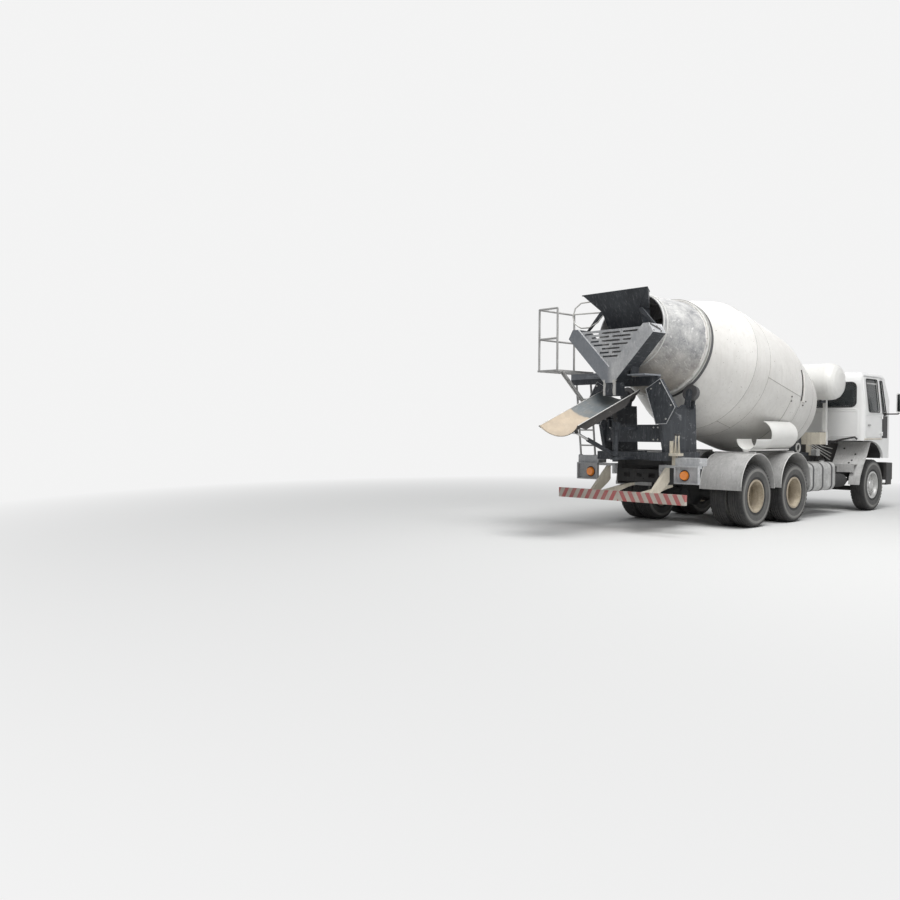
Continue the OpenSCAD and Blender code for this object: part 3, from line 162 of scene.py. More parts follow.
class Graph:
    """Short calls for the nodes that the finishes use."""

    def __init__(self, tree: bpy.types.NodeTree) -> None:
        """Keeps the tree that the nodes are added to."""
        self.tree = tree

    @classmethod
    def clear(cls, owner: bpy.types.Material | bpy.types.World) -> Graph:
        """Graph of a material or world, emptied."""
        owner.use_nodes = True
        owner.node_tree.nodes.clear()
        return cls(owner.node_tree)

    def end(self, surface: object, kind: str = "ShaderNodeOutputMaterial") -> None:
        """Links a surface to a new output node."""
        self.put(self.add(kind).inputs["Surface"], surface)

    def add(self, kind: str, **settings: object) -> bpy.types.Node:
        """Adds a node and sets its properties."""
        node = self.tree.nodes.new(kind)
        for key, value in settings.items():
            setattr(node, key, value)
        return node

    def put(self, socket: Socket, value: object) -> None:
        """Links a socket, or sets a plain value on it."""
        if isinstance(value, Socket):
            self.tree.links.new(value, socket)
        elif isinstance(value, tuple) and len(value) == 3 and socket.type == "RGBA":
            socket.default_value = (*value, 1.0)
        else:
            socket.default_value = value

    def run(self, kind: str, inputs: dict[str | int, object], **settings: object) -> bpy.types.Node:
        """Adds a node, sets its properties and fills its inputs."""
        node = self.add(kind, **settings)
        for key, value in inputs.items():
            self.put(node.inputs[key], value)
        return node

    def place(self) -> Socket:
        """Object coordinates."""
        return self.add("ShaderNodeTexCoord").outputs["Object"]

    def mapped(self, vector: object, move: Point = (0, 0, 0), turn: Point = (0, 0, 0),
               scale: Point = (1, 1, 1)) -> Socket:
        """Moves, turns and scales a vector."""
        return self.run("ShaderNodeMapping", {"Vector": vector, "Location": move, "Rotation": turn,
                                              "Scale": scale}).outputs["Vector"]

    def noise(self, vector: object, scale: float, detail: float = 4.0, rough: float = 0.55,
              twist: float = 0.0) -> Socket:
        """Cloudy noise between 0 and 1."""
        return self.run("ShaderNodeTexNoise", {
            "Vector": vector, "Scale": scale, "Detail": detail, "Roughness": rough,
            "Distortion": twist}).outputs[0]

    def span(self, value: object, low: float, high: float, to: tuple[float, float] = (0.0, 1.0)
             ) -> Socket:
        """Spreads a value from low..high over a range, clamped."""
        return self.run("ShaderNodeMapRange", {
            "Value": value, "From Min": low, "From Max": high, "To Min": to[0],
            "To Max": to[1]}).outputs["Result"]

    def math(self, operation: str, a: object, b: object = 0.0) -> Socket:
        """One arithmetic step."""
        return self.run("ShaderNodeMath", {0: a, 1: b}, operation=operation).outputs[0]

    def times(self, a: object, b: object) -> Socket:
        """Product of two numbers."""
        return self.math("MULTIPLY", a, b)

    def plus(self, a: object, b: object) -> Socket:
        """Sum of two numbers."""
        return self.math("ADD", a, b)

    def minus(self, a: object, b: object) -> Socket:
        """Difference of two numbers."""
        return self.math("SUBTRACT", a, b)

    def size(self, a: object) -> Socket:
        """A number without its sign."""
        return self.math("ABSOLUTE", a)

    def mix(self, share: object, a: object, b: object) -> Socket:
        """Mixes two colours."""
        return self.run("ShaderNodeMix", {0: share, 6: a, 7: b}, data_type="RGBA").outputs[2]

    def blend(self, share: object, a: object, b: object) -> Socket:
        """Mixes two numbers."""
        return self.run("ShaderNodeMix", {0: share, 2: a, 3: b}, data_type="FLOAT").outputs[0]

    def along(self, vector: object, direction: Vector, start: Vector) -> Socket:
        """Distance of a point from a start, along a direction."""
        node = self.run("ShaderNodeVectorMath", {0: vector, 1: direction},
                        operation="DOT_PRODUCT")
        return self.minus(node.outputs["Value"], direction.dot(start))

    def away(self, vector: object, direction: Vector, start: Vector) -> Socket:
        """Distance of a point from the line through a start along a direction."""
        value = vector
        for operation, other, result in (("SUBTRACT", start, 0), ("CROSS_PRODUCT", direction, 0),
                                         ("LENGTH", (0, 0, 0), "Value")):
            value = self.run("ShaderNodeVectorMath", {0: value, 1: other},
                             operation=operation).outputs[result]
        return value

    def split(self, vector: object) -> tuple[Socket, ...]:
        """The three numbers of a vector."""
        return tuple(self.run("ShaderNodeSeparateXYZ", {0: vector}).outputs)


@dataclass
class Look:
    """Sockets and numbers that make one surface."""

    colour: object
    rough: object
    metal: float
    height: object


@dataclass(frozen=True)
class Finish:
    """One worn surface: its own colour under dust, streaks, specks and scratches."""

    name: str
    colour: Colour
    dust: Colour = (0.40, 0.37, 0.33)
    dusty: float = 0.3
    dust_size: float = 3.0
    streak: Colour = (0.12, 0.11, 0.10)
    streaky: float = 0.0
    speck: Colour = (0.16, 0.13, 0.11)
    specked: float = 0.0
    scratch: Colour = (0.5, 0.5, 0.5)
    scratched: float = 0.0
    rough: float = 0.5
    metal: float = 0.0
    grain: float = 0.12
    grain_size: float = 120.0
    clear: float = 0.0
    # Strength of a painted glow in the surface's own colour; the surface is no lamp.
    painted_glow: float = 0.0

    def look(self, g: Graph, at: object) -> Look:
        """Builds the surface's colour, roughness and height.

        Args:
            g: Graph of the material.
            at: Vector that the patterns read.

        Returns:
            The sockets of the surface.
        """
        cloud = g.noise(at, self.dust_size, 8.0, 0.62)
        fine = g.noise(at, self.dust_size * 9.0, 5.0, 0.6)
        both = g.plus(g.times(cloud, 0.7), g.times(fine, 0.3))
        cover = g.times(g.span(both, 0.38, 0.66), self.dusty)
        colour = g.mix(cover, self.colour, self.dust)
        tone = g.span(g.noise(at, self.dust_size * 0.45, 3.0), 0.3, 0.7, (0.9, 1.06))
        colour = g.run("ShaderNodeVectorMath", {0: colour, "Scale": tone},
                       operation="SCALE").outputs[0]
        if self.streaky:
            long = g.noise(g.mapped(at, scale=(11.0, 11.0, 0.9)), 1.6, 6.0, 0.65)
            colour = g.mix(g.times(g.span(long, 0.5, 0.74), self.streaky),
                           colour, self.streak)
        if self.scratched:
            bent = g.noise(g.mapped(at, turn=(0.5, 0.9, 0.3), scale=(3.0, 26.0, 5.0)), 2.2, 9.0,
                           0.7)
            colour = g.mix(g.times(g.span(bent, 0.56, 0.68), self.scratched),
                           colour, self.scratch)
        if self.specked:
            spots = g.noise(at, 34.0, 3.0, 0.5, 0.4)
            colour = g.mix(g.times(g.span(spots, 0.68, 0.74), self.specked),
                           colour, self.speck)
        rough = g.span(both, 0.3, 0.7, (self.rough, min(1.0, self.rough + 0.3 * self.dusty + 0.06)))
        grain = g.noise(at, self.grain_size, 3.0, 0.6)
        height = g.plus(g.times(grain, 0.4), g.times(cover, 0.6))
        return Look(colour, rough, self.metal, height)

    def material(self) -> bpy.types.Material:
        """Material with this finish all over."""
        return Coat(self.name, self).material()


Mask = Callable[[Graph, object], object]


@dataclass(frozen=True)
class Coat:
    """A finish with other finishes laid over parts of it."""

    name: str
    base: Finish
    over: tuple[tuple[Mask, Finish], ...] = ()

    @cache
    def material(self) -> bpy.types.Material:
        """Builds the material one time."""
        made = bpy.data.materials.new(self.name)
        g = Graph.clear(made)
        at = g.place()
        look = self.base.look(g, at)
        colour, rough, metal, height = look.colour, look.rough, look.metal, look.height
        for mask, finish in self.over:
            share = mask(g, at)
            top = finish.look(g, at)
            colour = g.mix(share, colour, top.colour)
            rough = g.blend(share, rough, top.rough)
            height = g.blend(share, height, top.height)
            if not (isinstance(metal, float) and metal == top.metal):
                metal = g.blend(share, metal, top.metal)
        bump = g.run("ShaderNodeBump", {"Strength": self.base.grain, "Distance": 0.004,
                                        "Height": height})
        shader = g.run("ShaderNodeBsdfPrincipled", {
            "Base Color": colour, "Roughness": rough, "Metallic": metal,
            "Coat Weight": self.base.clear, "Coat Roughness": 0.12,
            "Normal": bump.outputs["Normal"]})
        # Painted glow: the surface gives off its own colour, though it is no lamp.
        if self.base.painted_glow:
            g.put(shader.inputs["Emission Color"], colour)
            g.put(shader.inputs["Emission Strength"], self.base.painted_glow)
        g.end(shader.outputs[0])
        return made


@dataclass(frozen=True)
class Pane:
    """Tinted, dusty window glass."""

    name: str
    tint: Colour = (0.025, 0.032, 0.034)
    see_through: float = 0.35

    @cache
    def material(self) -> bpy.types.Material:
        """Builds the glass one time."""
        made = bpy.data.materials.new(self.name)
        g = Graph.clear(made)
        at = g.place()
        haze = g.span(g.noise(at, 2.5, 6.0), 0.4, 0.75)
        shader = g.run("ShaderNodeBsdfPrincipled", {
            "Base Color": g.mix(g.times(haze, 0.12), self.tint, (0.35, 0.34, 0.32)),
            "Roughness": g.span(haze, 0.0, 1.0, (0.04, 0.16)),
            "Alpha": 1.0 - self.see_through, "Specular IOR Level": 0.6})
        g.end(shader.outputs[0])
        return made


Cover = Finish | Coat | Pane


class Paint:
    """The finishes of the truck."""

    DRUM_WHITE = Finish("drum white", (0.79, 0.775, 0.745), (0.52, 0.50, 0.46), 0.34, 1.5,
                        streak=(0.40, 0.37, 0.33), streaky=0.20, specked=0.75,
                        speck=(0.27, 0.24, 0.21), rough=0.42, grain=0.10, clear=0.10)
    CONE_GREY = Finish("cement skin", (0.57, 0.565, 0.55), (0.17, 0.175, 0.19), 0.85, 4.5,
                       scratch=(0.82, 0.81, 0.79), scratched=0.8, specked=0.6,
                       rough=0.72, grain=0.45, grain_size=70.0)
    # Browner, darker skin painted on the cone's low side as shade.
    CONE_LOW_SHADE = Finish("cone low-side shade", (0.40, 0.345, 0.28), (0.20, 0.185, 0.17), 0.7, 4.0,
                        scratch=(0.60, 0.56, 0.50), scratched=0.4, rough=0.75, grain=0.4)
    SCOURED = Finish("scoured edge", (0.68, 0.68, 0.66), (0.40, 0.38, 0.35), 0.35, 7.0,
                     rough=0.42, metal=0.25, grain=0.15)
    SPLASH = Finish("cement splash", (0.70, 0.69, 0.66), (0.42, 0.40, 0.37), 0.45, 7.0,
                    streak=(0.30, 0.30, 0.30), streaky=0.3, rough=0.85, grain=0.5)
    # Darker dusted blue-grey: painted shade on the left funnel wing and its foot, and dust on the
    # shelf tops.
    BLUE_SHADE_AND_DUST = Finish("dusted blue", (0.20, 0.215, 0.24), (0.36, 0.37, 0.385), 0.45, 3.0,
                        scratch=(0.46, 0.47, 0.48), scratched=0.4, rough=0.62, grain=0.35)
    RIM_BRIGHT = Finish("front rim", (0.66, 0.66, 0.65), (0.30, 0.29, 0.27), 0.45, 8.0,
                        rough=0.36, metal=0.55, grain=0.2)
    TANK_WHITE = Finish("tank white", (0.80, 0.795, 0.77), (0.62, 0.60, 0.55), 0.25, 1.8,
                        specked=0.30, rough=0.40, grain=0.08, clear=0.12)
    CAB_WHITE = Finish("cab white", (0.82, 0.82, 0.81), (0.60, 0.59, 0.56), 0.16, 1.4,
                       rough=0.30, grain=0.04, clear=0.35)
    CREAM = Finish("worn cream", (0.72, 0.67, 0.56), (0.40, 0.35, 0.28), 0.42, 4.0,
                   streak=(0.25, 0.17, 0.11), streaky=0.35, specked=0.5, rough=0.6, grain=0.2)
    DARK_BLUE = Finish("hopper dark", (0.017, 0.020, 0.026), (0.10, 0.11, 0.12), 0.36, 2.4,
                       streak=(0.15, 0.16, 0.17), streaky=0.25, scratch=(0.42, 0.43, 0.44),
                       scratched=0.42, rough=0.55, grain=0.3, grain_size=80.0)
    FRAME_DARK = Finish("frame dark", (0.013, 0.014, 0.015), (0.08, 0.075, 0.07), 0.36, 3.2,
                        streak=(0.08, 0.075, 0.07), streaky=0.22, rough=0.68, grain=0.3)
    WING_GREY = Finish("dusted grey", (0.56, 0.565, 0.57), (0.15, 0.16, 0.18), 0.55, 3.4,
                       scratch=(0.85, 0.85, 0.84), scratched=0.6, streak=(0.17, 0.18, 0.20),
                       streaky=0.3, rough=0.66, grain=0.35, grain_size=80.0)
    FENDER_GREY = Finish("fender grey", (0.50, 0.495, 0.485), (0.24, 0.235, 0.23), 0.60, 3.4,
                         streak=(0.22, 0.215, 0.21), streaky=0.45, scratch=(0.74, 0.735, 0.72),
                         scratched=0.5, specked=0.5, rough=0.68, grain=0.25)
    # Dark steel of the tank straps and the rollers; on the track ring's tread this dark is painted
    # shade.
    DARK_BAND_AND_SHADE = Finish("dark band and painted shade", (0.10, 0.10, 0.105), (0.28, 0.27, 0.26), 0.3, 5.0,
                       rough=0.45, metal=0.7, grain=0.15)
    BRIGHT = Finish("worn bright steel", (0.60, 0.60, 0.58), (0.34, 0.31, 0.27), 0.4, 6.0,
                    rough=0.38, metal=0.75, grain=0.15)
    HUB = Finish("hub steel", (0.42, 0.42, 0.42), (0.16, 0.15, 0.14), 0.6, 7.0, rough=0.45,
                 metal=0.6, grain=0.2)
    RIM_CREAM = Finish("rim cream", (0.53, 0.46, 0.35), (0.17, 0.135, 0.10), 0.65, 4.0,
                       streak=(0.15, 0.11, 0.08), streaky=0.3, specked=0.4, rough=0.58, grain=0.2)
    TANK_METAL = Finish("dull tank metal", (0.60, 0.60, 0.59), (0.16, 0.16, 0.155), 0.6, 4.0,
                        streak=(0.15, 0.15, 0.145), streaky=0.4, scratch=(0.80, 0.80, 0.79),
                        scratched=0.5, rough=0.38, metal=0.5, grain=0.15)
    BLACK = Finish("black plastic", (0.022, 0.022, 0.024), (0.15, 0.14, 0.13), 0.35, 4.0,
                   rough=0.55, grain=0.25)
    RUBBER = Finish("seal rubber", (0.014, 0.014, 0.015), (0.10, 0.10, 0.10), 0.25, 6.0,
                    rough=0.6, grain=0.2)
    TREAD = Finish("tread rubber", (0.026, 0.026, 0.027), (0.10, 0.097, 0.09), 0.5, 5.0,
                   rough=0.82, grain=0.4, grain_size=90.0)
    SIDEWALL = Finish("sidewall rubber", (0.075, 0.075, 0.074), (0.20, 0.195, 0.185), 0.55, 4.0,
                      rough=0.85, grain=0.3)
    SCUFFED = Finish("scuffed rubber", (0.20, 0.198, 0.19), (0.34, 0.33, 0.31), 0.5, 5.0,
                     rough=0.9, grain=0.3)
    SEAM = Finish("weld seam", (0.30, 0.285, 0.26), (0.45, 0.43, 0.40), 0.3, 6.0, rough=0.6,
                  grain=0.2)
    RUSTY = Finish("rusty pipe", (0.17, 0.11, 0.075), (0.26, 0.17, 0.11), 0.6, 5.0, rough=0.8,
                   metal=0.3, grain=0.4)
    CAST = Finish("oily cast iron", (0.09, 0.09, 0.092), (0.17, 0.15, 0.13), 0.5, 4.0, rough=0.6,
                  metal=0.3, grain=0.4)
    CHROME = Finish("rod chrome", (0.62, 0.62, 0.62), (0.40, 0.38, 0.35), 0.2, 8.0, rough=0.2,
                    metal=0.9, grain=0.05)
    # Amber lens with a faint painted glow, as if lit.
    AMBER = Finish("amber lens", (0.86, 0.25, 0.02), (0.5, 0.2, 0.06), 0.2, 8.0, rough=0.16,
                   grain=0.1, clear=0.6, painted_glow=0.1)
    CLEAR_LENS = Finish("clear lens", (0.72, 0.74, 0.75), (0.5, 0.48, 0.45), 0.15, 8.0,
                        rough=0.1, grain=0.1, clear=0.8)
    STRIPE_PALE = Finish("stripe pale", (0.55, 0.50, 0.44), (0.36, 0.32, 0.28), 0.5, 5.0,
                         streak=(0.3, 0.26, 0.22), streaky=0.3, rough=0.6, grain=0.15)
    STRIPE_RED = Finish("stripe red", (0.44, 0.10, 0.10), (0.42, 0.30, 0.27), 0.55, 5.0,
                        rough=0.6, grain=0.15)
    CHUTE_DARK = Finish("chute back", (0.030, 0.029, 0.029), (0.10, 0.088, 0.078), 0.4, 4.0,
                        scratch=(0.34, 0.33, 0.32), scratched=0.45, rough=0.65, grain=0.3)
    CONCRETE_TAN = Finish("dried concrete", (0.62, 0.52, 0.40), (0.45, 0.38, 0.31), 0.5, 5.0,
                          streak=(0.74, 0.66, 0.54), streaky=0.3, rough=0.9, grain=0.6,
                          grain_size=50.0)
    # Dark blue-grey for the upper inner face of the chute: a painted shadow.
    TROUGH_SHADOW = Finish("painted trough shadow", (0.17, 0.20, 0.22), (0.36, 0.33, 0.28), 0.5, 4.0,
                         scratch=(0.45, 0.45, 0.44), scratched=0.5, rough=0.55, metal=0.2,
                         grain=0.25)
    TRIM_DARK = Finish("cab trim", (0.045, 0.045, 0.047), (0.10, 0.10, 0.10), 0.3, 6.0,
                       rough=0.7, grain=0.3)
    MIRROR = Finish("mirror face", (0.14, 0.15, 0.155), (0.3, 0.3, 0.3), 0.06, 5.0, rough=0.06,
                    metal=1.0, grain=0.01)


# Body, finish and slot of pieces that share them
CAB_BLACK = ("cab", Paint.BLACK, "black_plastic")
CAB_SEAL = ("cab", Paint.RUBBER, "mirror_housing")
CAB_PAINT = ("cab", Paint.CAB_WHITE, "cab_white")
BLACK_TRIM = ("chassis", Paint.BLACK, "black_plastic")
BRIGHT_BARS = ("chassis", Paint.BRIGHT, "ring_steel")
BRIGHT_TRIM = ("chassis", Paint.BRIGHT, "rim_steel")
DRUM_PAINT = ("drum", Paint.DRUM_WHITE, "drum_paint")
DRUM_SEAM = ("drum", Paint.SEAM, "drum_paint")
DRUM_RIM = ("drum", Paint.SCOURED, "ring_steel")


# Making meshes


def placed(name: str, data: bpy.types.ID) -> bpy.types.Object:
    """New object in the scene that holds the data."""
    made = bpy.data.objects.new(name, data)
    bpy.context.scene.collection.objects.link(made)
    return made


class Bench:
    """Makes meshes and turns them into finished pieces."""

    @staticmethod
    def raw(name: str, points: Sequence[Vector | Point], faces: Sequence[Sequence[int]],
            edges: Sequence[tuple[int, int]] = ()) -> bpy.types.Object:
        """Object from points, faces and loose edges, at the origin."""
        mesh = bpy.data.meshes.new(name)
        mesh.from_pydata([tuple(p) for p in points], edges, [tuple(f) for f in faces])
        mesh.update()
        return placed(name, mesh)

    @staticmethod
    def lathe(profile: Outline, steps: int, closed: bool = True) -> Shape:
        """Turns a profile of (radius, height) about Z.

        Args:
            profile: Points of the section.
            steps: Number of turns.
            closed: Joins the last point to the first.

        Returns:
            Points and faces.
        """
        points: list[Vector] = []
        for i in range(steps):
            a = math.tau * i / steps
            points += [Vector((r * math.cos(a), r * math.sin(a), z)) for r, z in profile]
        n = len(profile)
        faces = []
        for i in range(steps):
            j = (i + 1) % steps
            for k in range(n if closed else n - 1):
                m = (k + 1) % n
                faces.append([i * n + k, j * n + k, j * n + m, i * n + m])
        return points, faces

    @staticmethod
    def box(low: Point, high: Point) -> Shape:
        """Points and faces of a block between two corners."""
        (x0, y0, z0), (x1, y1, z1) = low, high
        points = [Vector(p) for p in ((x0, y0, z0), (x1, y0, z0), (x1, y1, z0), (x0, y1, z0),
                                      (x0, y0, z1), (x1, y0, z1), (x1, y1, z1), (x0, y1, z1))]
        faces = [[0, 3, 2, 1], [4, 5, 6, 7], [0, 1, 5, 4], [1, 2, 6, 5], [2, 3, 7, 6], [3, 0, 4, 7]]
        return points, faces

    @staticmethod
    def slab(outline: Sequence[Vector], thick: Vector) -> Shape:
        """A flat outline given thickness along a vector."""
        n = len(outline)
        points = [Vector(p) for p in outline] + [Vector(p) + thick for p in outline]
        faces = [list(range(n))[::-1], list(range(n, 2 * n))]
        faces += [[i, (i + 1) % n, n + (i + 1) % n, n + i] for i in range(n)]
        return points, faces

    @staticmethod
    def join(name: str, parts: Sequence[tuple[Sequence[Vector], Sequence[Sequence[int]]]],
             move: Matrix | None = None) -> bpy.types.Object:
        """One object from several point and face lists, with its faces set outwards."""
        points: list[Vector] = []
        faces: list[list[int]] = []
        for p, f in parts:
            start = len(points)
            points += list(p)
            faces += [[start + i for i in one] for one in f]
        if move is not None:
            points = [move @ p for p in points]
        made = Bench.raw(name, points, faces)
        Bench.outwards(made)
        return made

    @staticmethod
    def outwards(made: bpy.types.Object) -> None:
        """Merges doubles and turns the faces outwards."""
        work = bmesh.new()
        work.from_mesh(made.data)
        bmesh.ops.remove_doubles(work, verts=work.verts, dist=1e-6)
        bmesh.ops.recalc_face_normals(work, faces=work.faces)
        work.to_mesh(made.data)
        work.free()

    @staticmethod
    def bake(made: bpy.types.Object) -> None:
        """Keeps the result of the modifiers as the object's mesh."""
        bpy.context.view_layer.update()
        mesh = bpy.data.meshes.new_from_object(
            made.evaluated_get(bpy.context.evaluated_depsgraph_get()))
        made.modifiers.clear()
        old, made.data = made.data, mesh
        bpy.data.meshes.remove(old)
        Bench.outwards(made)

    @staticmethod
    def smooth(made: bpy.types.Object, angle: float = 35.0) -> None:
        """Shades smooth, apart from edges sharper than the angle."""
        mesh = made.data
        work = bmesh.new()
        work.from_mesh(mesh)
        limit = math.radians(angle)
        for edge in work.edges:
            edge.smooth = len(edge.link_faces) == 2 and edge.calc_face_angle(0.0) < limit
        for face in work.faces:
            face.smooth = True
        work.to_mesh(mesh)
        work.free()

    @staticmethod
    def finish(made: bpy.types.Object, body: str, coat: Cover, slot: str) -> bpy.types.Object:
        """Dresses a piece and lets it ride on a body."""
        made.data.materials.clear()
        made.data.materials.append(coat.material())
        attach(made, body)
        LOG.info("piece %s on %s, %d faces", made.name, body, len(made.data.polygons))
        return made


# Geometry Nodes trees


class Trees:
    """Geometry Nodes trees for what repeats or follows a path."""

    @staticmethod
    def start(name: str, inputs: Sequence[tuple[str, str]]
              ) -> tuple[Graph, dict[str, Socket], bpy.types.Node]:
        """New tree with a geometry socket in and out and the named inputs.

        Args:
            name: Name of the tree.
            inputs: Names and socket types of the inputs besides geometry and material.

        Returns:
            The tree's graph, its input sockets by name, and its output node.
        """
        tree = bpy.data.node_groups.new(name, "GeometryNodeTree")
        face = tree.interface
        face.new_socket(name="Geometry", in_out="INPUT", socket_type="NodeSocketGeometry")
        for label, kind in (*inputs, ("Material", "NodeSocketMaterial")):
            face.new_socket(name=label, in_out="INPUT", socket_type=kind)
        face.new_socket(name="Geometry", in_out="OUTPUT", socket_type="NodeSocketGeometry")
        first = tree.nodes.new("NodeGroupInput")
        last = tree.nodes.new("NodeGroupOutput")
        return Graph(tree), {s.name: s for s in first.outputs if s.name}, last

    @staticmethod
    def close(g: Graph, geometry: Socket, given: dict[str, Socket], last: bpy.types.Node,
              smooth: bool) -> bpy.types.NodeTree:
        """Ends a tree in Realize Instances and Set Material."""
        real = g.run("GeometryNodeRealizeInstances", {0: geometry})
        shade = g.run("GeometryNodeSetShadeSmooth", {0: real.outputs[0], "Shade Smooth": smooth})
        dress = g.run("GeometryNodeSetMaterial", {"Geometry": shade.outputs[0],
                                                  "Material": given["Material"]})
        g.put(last.inputs[0], dress.outputs[0])
        return g.tree

    @staticmethod
    def copies(g: Graph, given: dict[str, Socket], step: object) -> bpy.types.Node:
        """Instances of the mesh at equal steps."""
        line = g.run("GeometryNodeMeshLine", {"Count": given["Count"], "Offset": step})
        return g.run("GeometryNodeInstanceOnPoints", {"Points": line.outputs[0],
                                                      "Instance": given["Geometry"]})

    @staticmethod
    @cache
    def studs() -> bpy.types.NodeTree:
        """Round or hexagonal heads on the points of a mesh, along its axis attribute."""
        g, given, last = Trees.start("studs", (
            ("Radius", "NodeSocketFloat"), ("Height", "NodeSocketFloat"),
            ("Sides", "NodeSocketInt")))
        axis = g.run("GeometryNodeInputNamedAttribute", {"Name": "axis"}, data_type="FLOAT_VECTOR")
        turn = g.run("FunctionNodeAlignRotationToVector",
                     {"Vector": axis.outputs["Attribute"]}, axis="Z")
        head = g.run("GeometryNodeMeshCylinder", {
            "Vertices": given["Sides"], "Radius": given["Radius"], "Depth": given["Height"]})
        put = g.run("GeometryNodeInstanceOnPoints", {
            "Points": given["Geometry"], "Instance": head.outputs["Mesh"],
            "Rotation": turn.outputs["Rotation"]})
        return Trees.close(g, put.outputs[0], given, last, False)

    @staticmethod
    @cache
    def tube() -> bpy.types.NodeTree:
        """Round bar along the edges of a mesh."""
        g, given, last = Trees.start("tube", (
            ("Radius", "NodeSocketFloat"), ("Sides", "NodeSocketInt")))
        path = g.run("GeometryNodeMeshToCurve", {"Mesh": given["Geometry"]})
        ring = g.run("GeometryNodeCurvePrimitiveCircle", {"Radius": given["Radius"],
                                                          "Resolution": given["Sides"]})
        skin = g.run("GeometryNodeCurveToMesh", {
            "Fill Caps": True, "Curve": path.outputs[0], "Profile Curve": ring.outputs["Curve"]})
        return Trees.close(g, skin.outputs[0], given, last, True)

    @staticmethod
    @cache
    def row() -> bpy.types.NodeTree:
        """Copies of the mesh at equal steps."""
        g, given, last = Trees.start("row", (
            ("Count", "NodeSocketInt"), ("Step", "NodeSocketVector")))
        put = Trees.copies(g, given, given["Step"])
        return Trees.close(g, put.outputs[0], given, last, False)

    @staticmethod
    @cache
    def wheel() -> bpy.types.NodeTree:
        """Copies of the mesh turned about the Y axis in equal steps."""
        g, given, last = Trees.start("wheel", (("Count", "NodeSocketInt"),))
        put = Trees.copies(g, given, (0, 0, 0))
        index = g.run("GeometryNodeInputIndex", {})
        angle = g.times(g.math("DIVIDE", index.outputs[0], given["Count"]), math.tau)
        turn = g.run("ShaderNodeCombineXYZ", {"Y": angle})
        spin = g.run("FunctionNodeEulerToRotation", {0: turn.outputs[0]})
        g.put(put.inputs["Rotation"], spin.outputs[0])
        return Trees.close(g, put.outputs[0], given, last, False)

    @staticmethod
    def grow(made: bpy.types.Object, tree: bpy.types.NodeTree, values: dict[str, object]
             ) -> bpy.types.Object:
        """Runs a tree on an object and keeps the result as a plain mesh.

        Args:
            made: Object that holds the points, path or shape.
            tree: Tree to run.
            values: Inputs of the tree by name.

        Returns:
            The same object with the result as its mesh.
        """
        modifier = made.modifiers.new(tree.name, "NODES")
        modifier.node_group = tree
        for item in tree.interface.items_tree:
            if item.item_type == "SOCKET" and item.in_out == "INPUT" and item.name in values:
                modifier[item.identifier] = values[item.name]
        Bench.bake(made)
        return made


class Fasteners:
    """Bolts, rods and beads that ride on one body."""

    @staticmethod
    def studs(name: str, spots: Spots, radius: float, height: float,
              body: str, coat: Finish, slot: str, sides: int = 6) -> bpy.types.Object:
        """Heads on the given spots.

        Args:
            name: Name of the piece.
            spots: Places with the direction that each head points to.
            radius: Radius of a head.
            height: Height of a head.
            body: Body that the heads ride on.
            coat: Finish.
            slot: Material slot; not used.
            sides: Faces round a head.

        Returns:
            The piece.
        """
        made = Bench.raw(name, [p for p, _ in spots], [])
        stored = made.data.attributes.new("axis", "FLOAT_VECTOR", "POINT")
        for item, (_, axis) in zip(stored.data, spots):
            item.vector = axis
        Trees.grow(made, Trees.studs(), {"Radius": radius, "Height": height, "Sides": sides,
                                         "Material": coat.material()})
        return Bench.finish(made, body, coat, slot)

    @staticmethod
    def tubes(name: str, paths: Sequence[Sequence[Vector]], radius: float, body: str,
              coat: Finish, slot: str, closed: bool = False, sides: int = 8
              ) -> bpy.types.Object:
        """Round bars along the given paths.

        Args:
            name: Name of the piece.
            paths: Points of each path.
            radius: Radius of the bar.
            body: Body that the bars ride on.
            coat: Finish.
            slot: Material slot; not used.
            closed: Joins each path's last point to its first.
            sides: Faces round a bar.

        Returns:
            The piece.
        """
        points: list[Vector] = []
        edges: list[tuple[int, int]] = []
        for path in paths:
            start = len(points)
            points += list(path)
            edges += [(start + i, start + i + 1) for i in range(len(path) - 1)]
            if closed:
                edges.append((start + len(path) - 1, start))
        made = Bench.raw(name, points, [], edges)
        Trees.grow(made, Trees.tube(), {"Radius": radius, "Sides": sides,
                                        "Material": coat.material()})
        Bench.smooth(made, 50.0)
        return Bench.finish(made, body, coat, slot)


def arc(centre: Vector, a: Vector, b: Vector, start: float, end: float, steps: int) -> list[Vector]:
    """Points on an arc.

    Args:
        centre: Centre of the arc.
        a: Vector to the arc at 0 degrees.
        b: Vector to the arc at 90 degrees.
        start: First angle in degrees.
        end: Last angle in degrees.
        steps: Number of steps between the points.

    Returns:
        The points.
    """
    angles = [math.radians(start + (end - start) * i / steps) for i in range(steps + 1)]
    return [centre + a * math.cos(t) + b * math.sin(t) for t in angles]


def rounded(low: tuple[float, float], high: tuple[float, float], r: float, steps: int = 6
            ) -> list[tuple[float, float]]:
    """Outline of a rectangle with round corners."""
    out = []
    for cx, cy, start in ((high[0] - r, high[1] - r, 0), (low[0] + r, high[1] - r, 90),
                          (low[0] + r, low[1] + r, 180), (high[0] - r, low[1] + r, 270)):
        for i in range(steps + 1):
            t = math.radians(start + 90 * i / steps)
            out.append((cx + r * math.cos(t), cy + r * math.sin(t)))
    return out


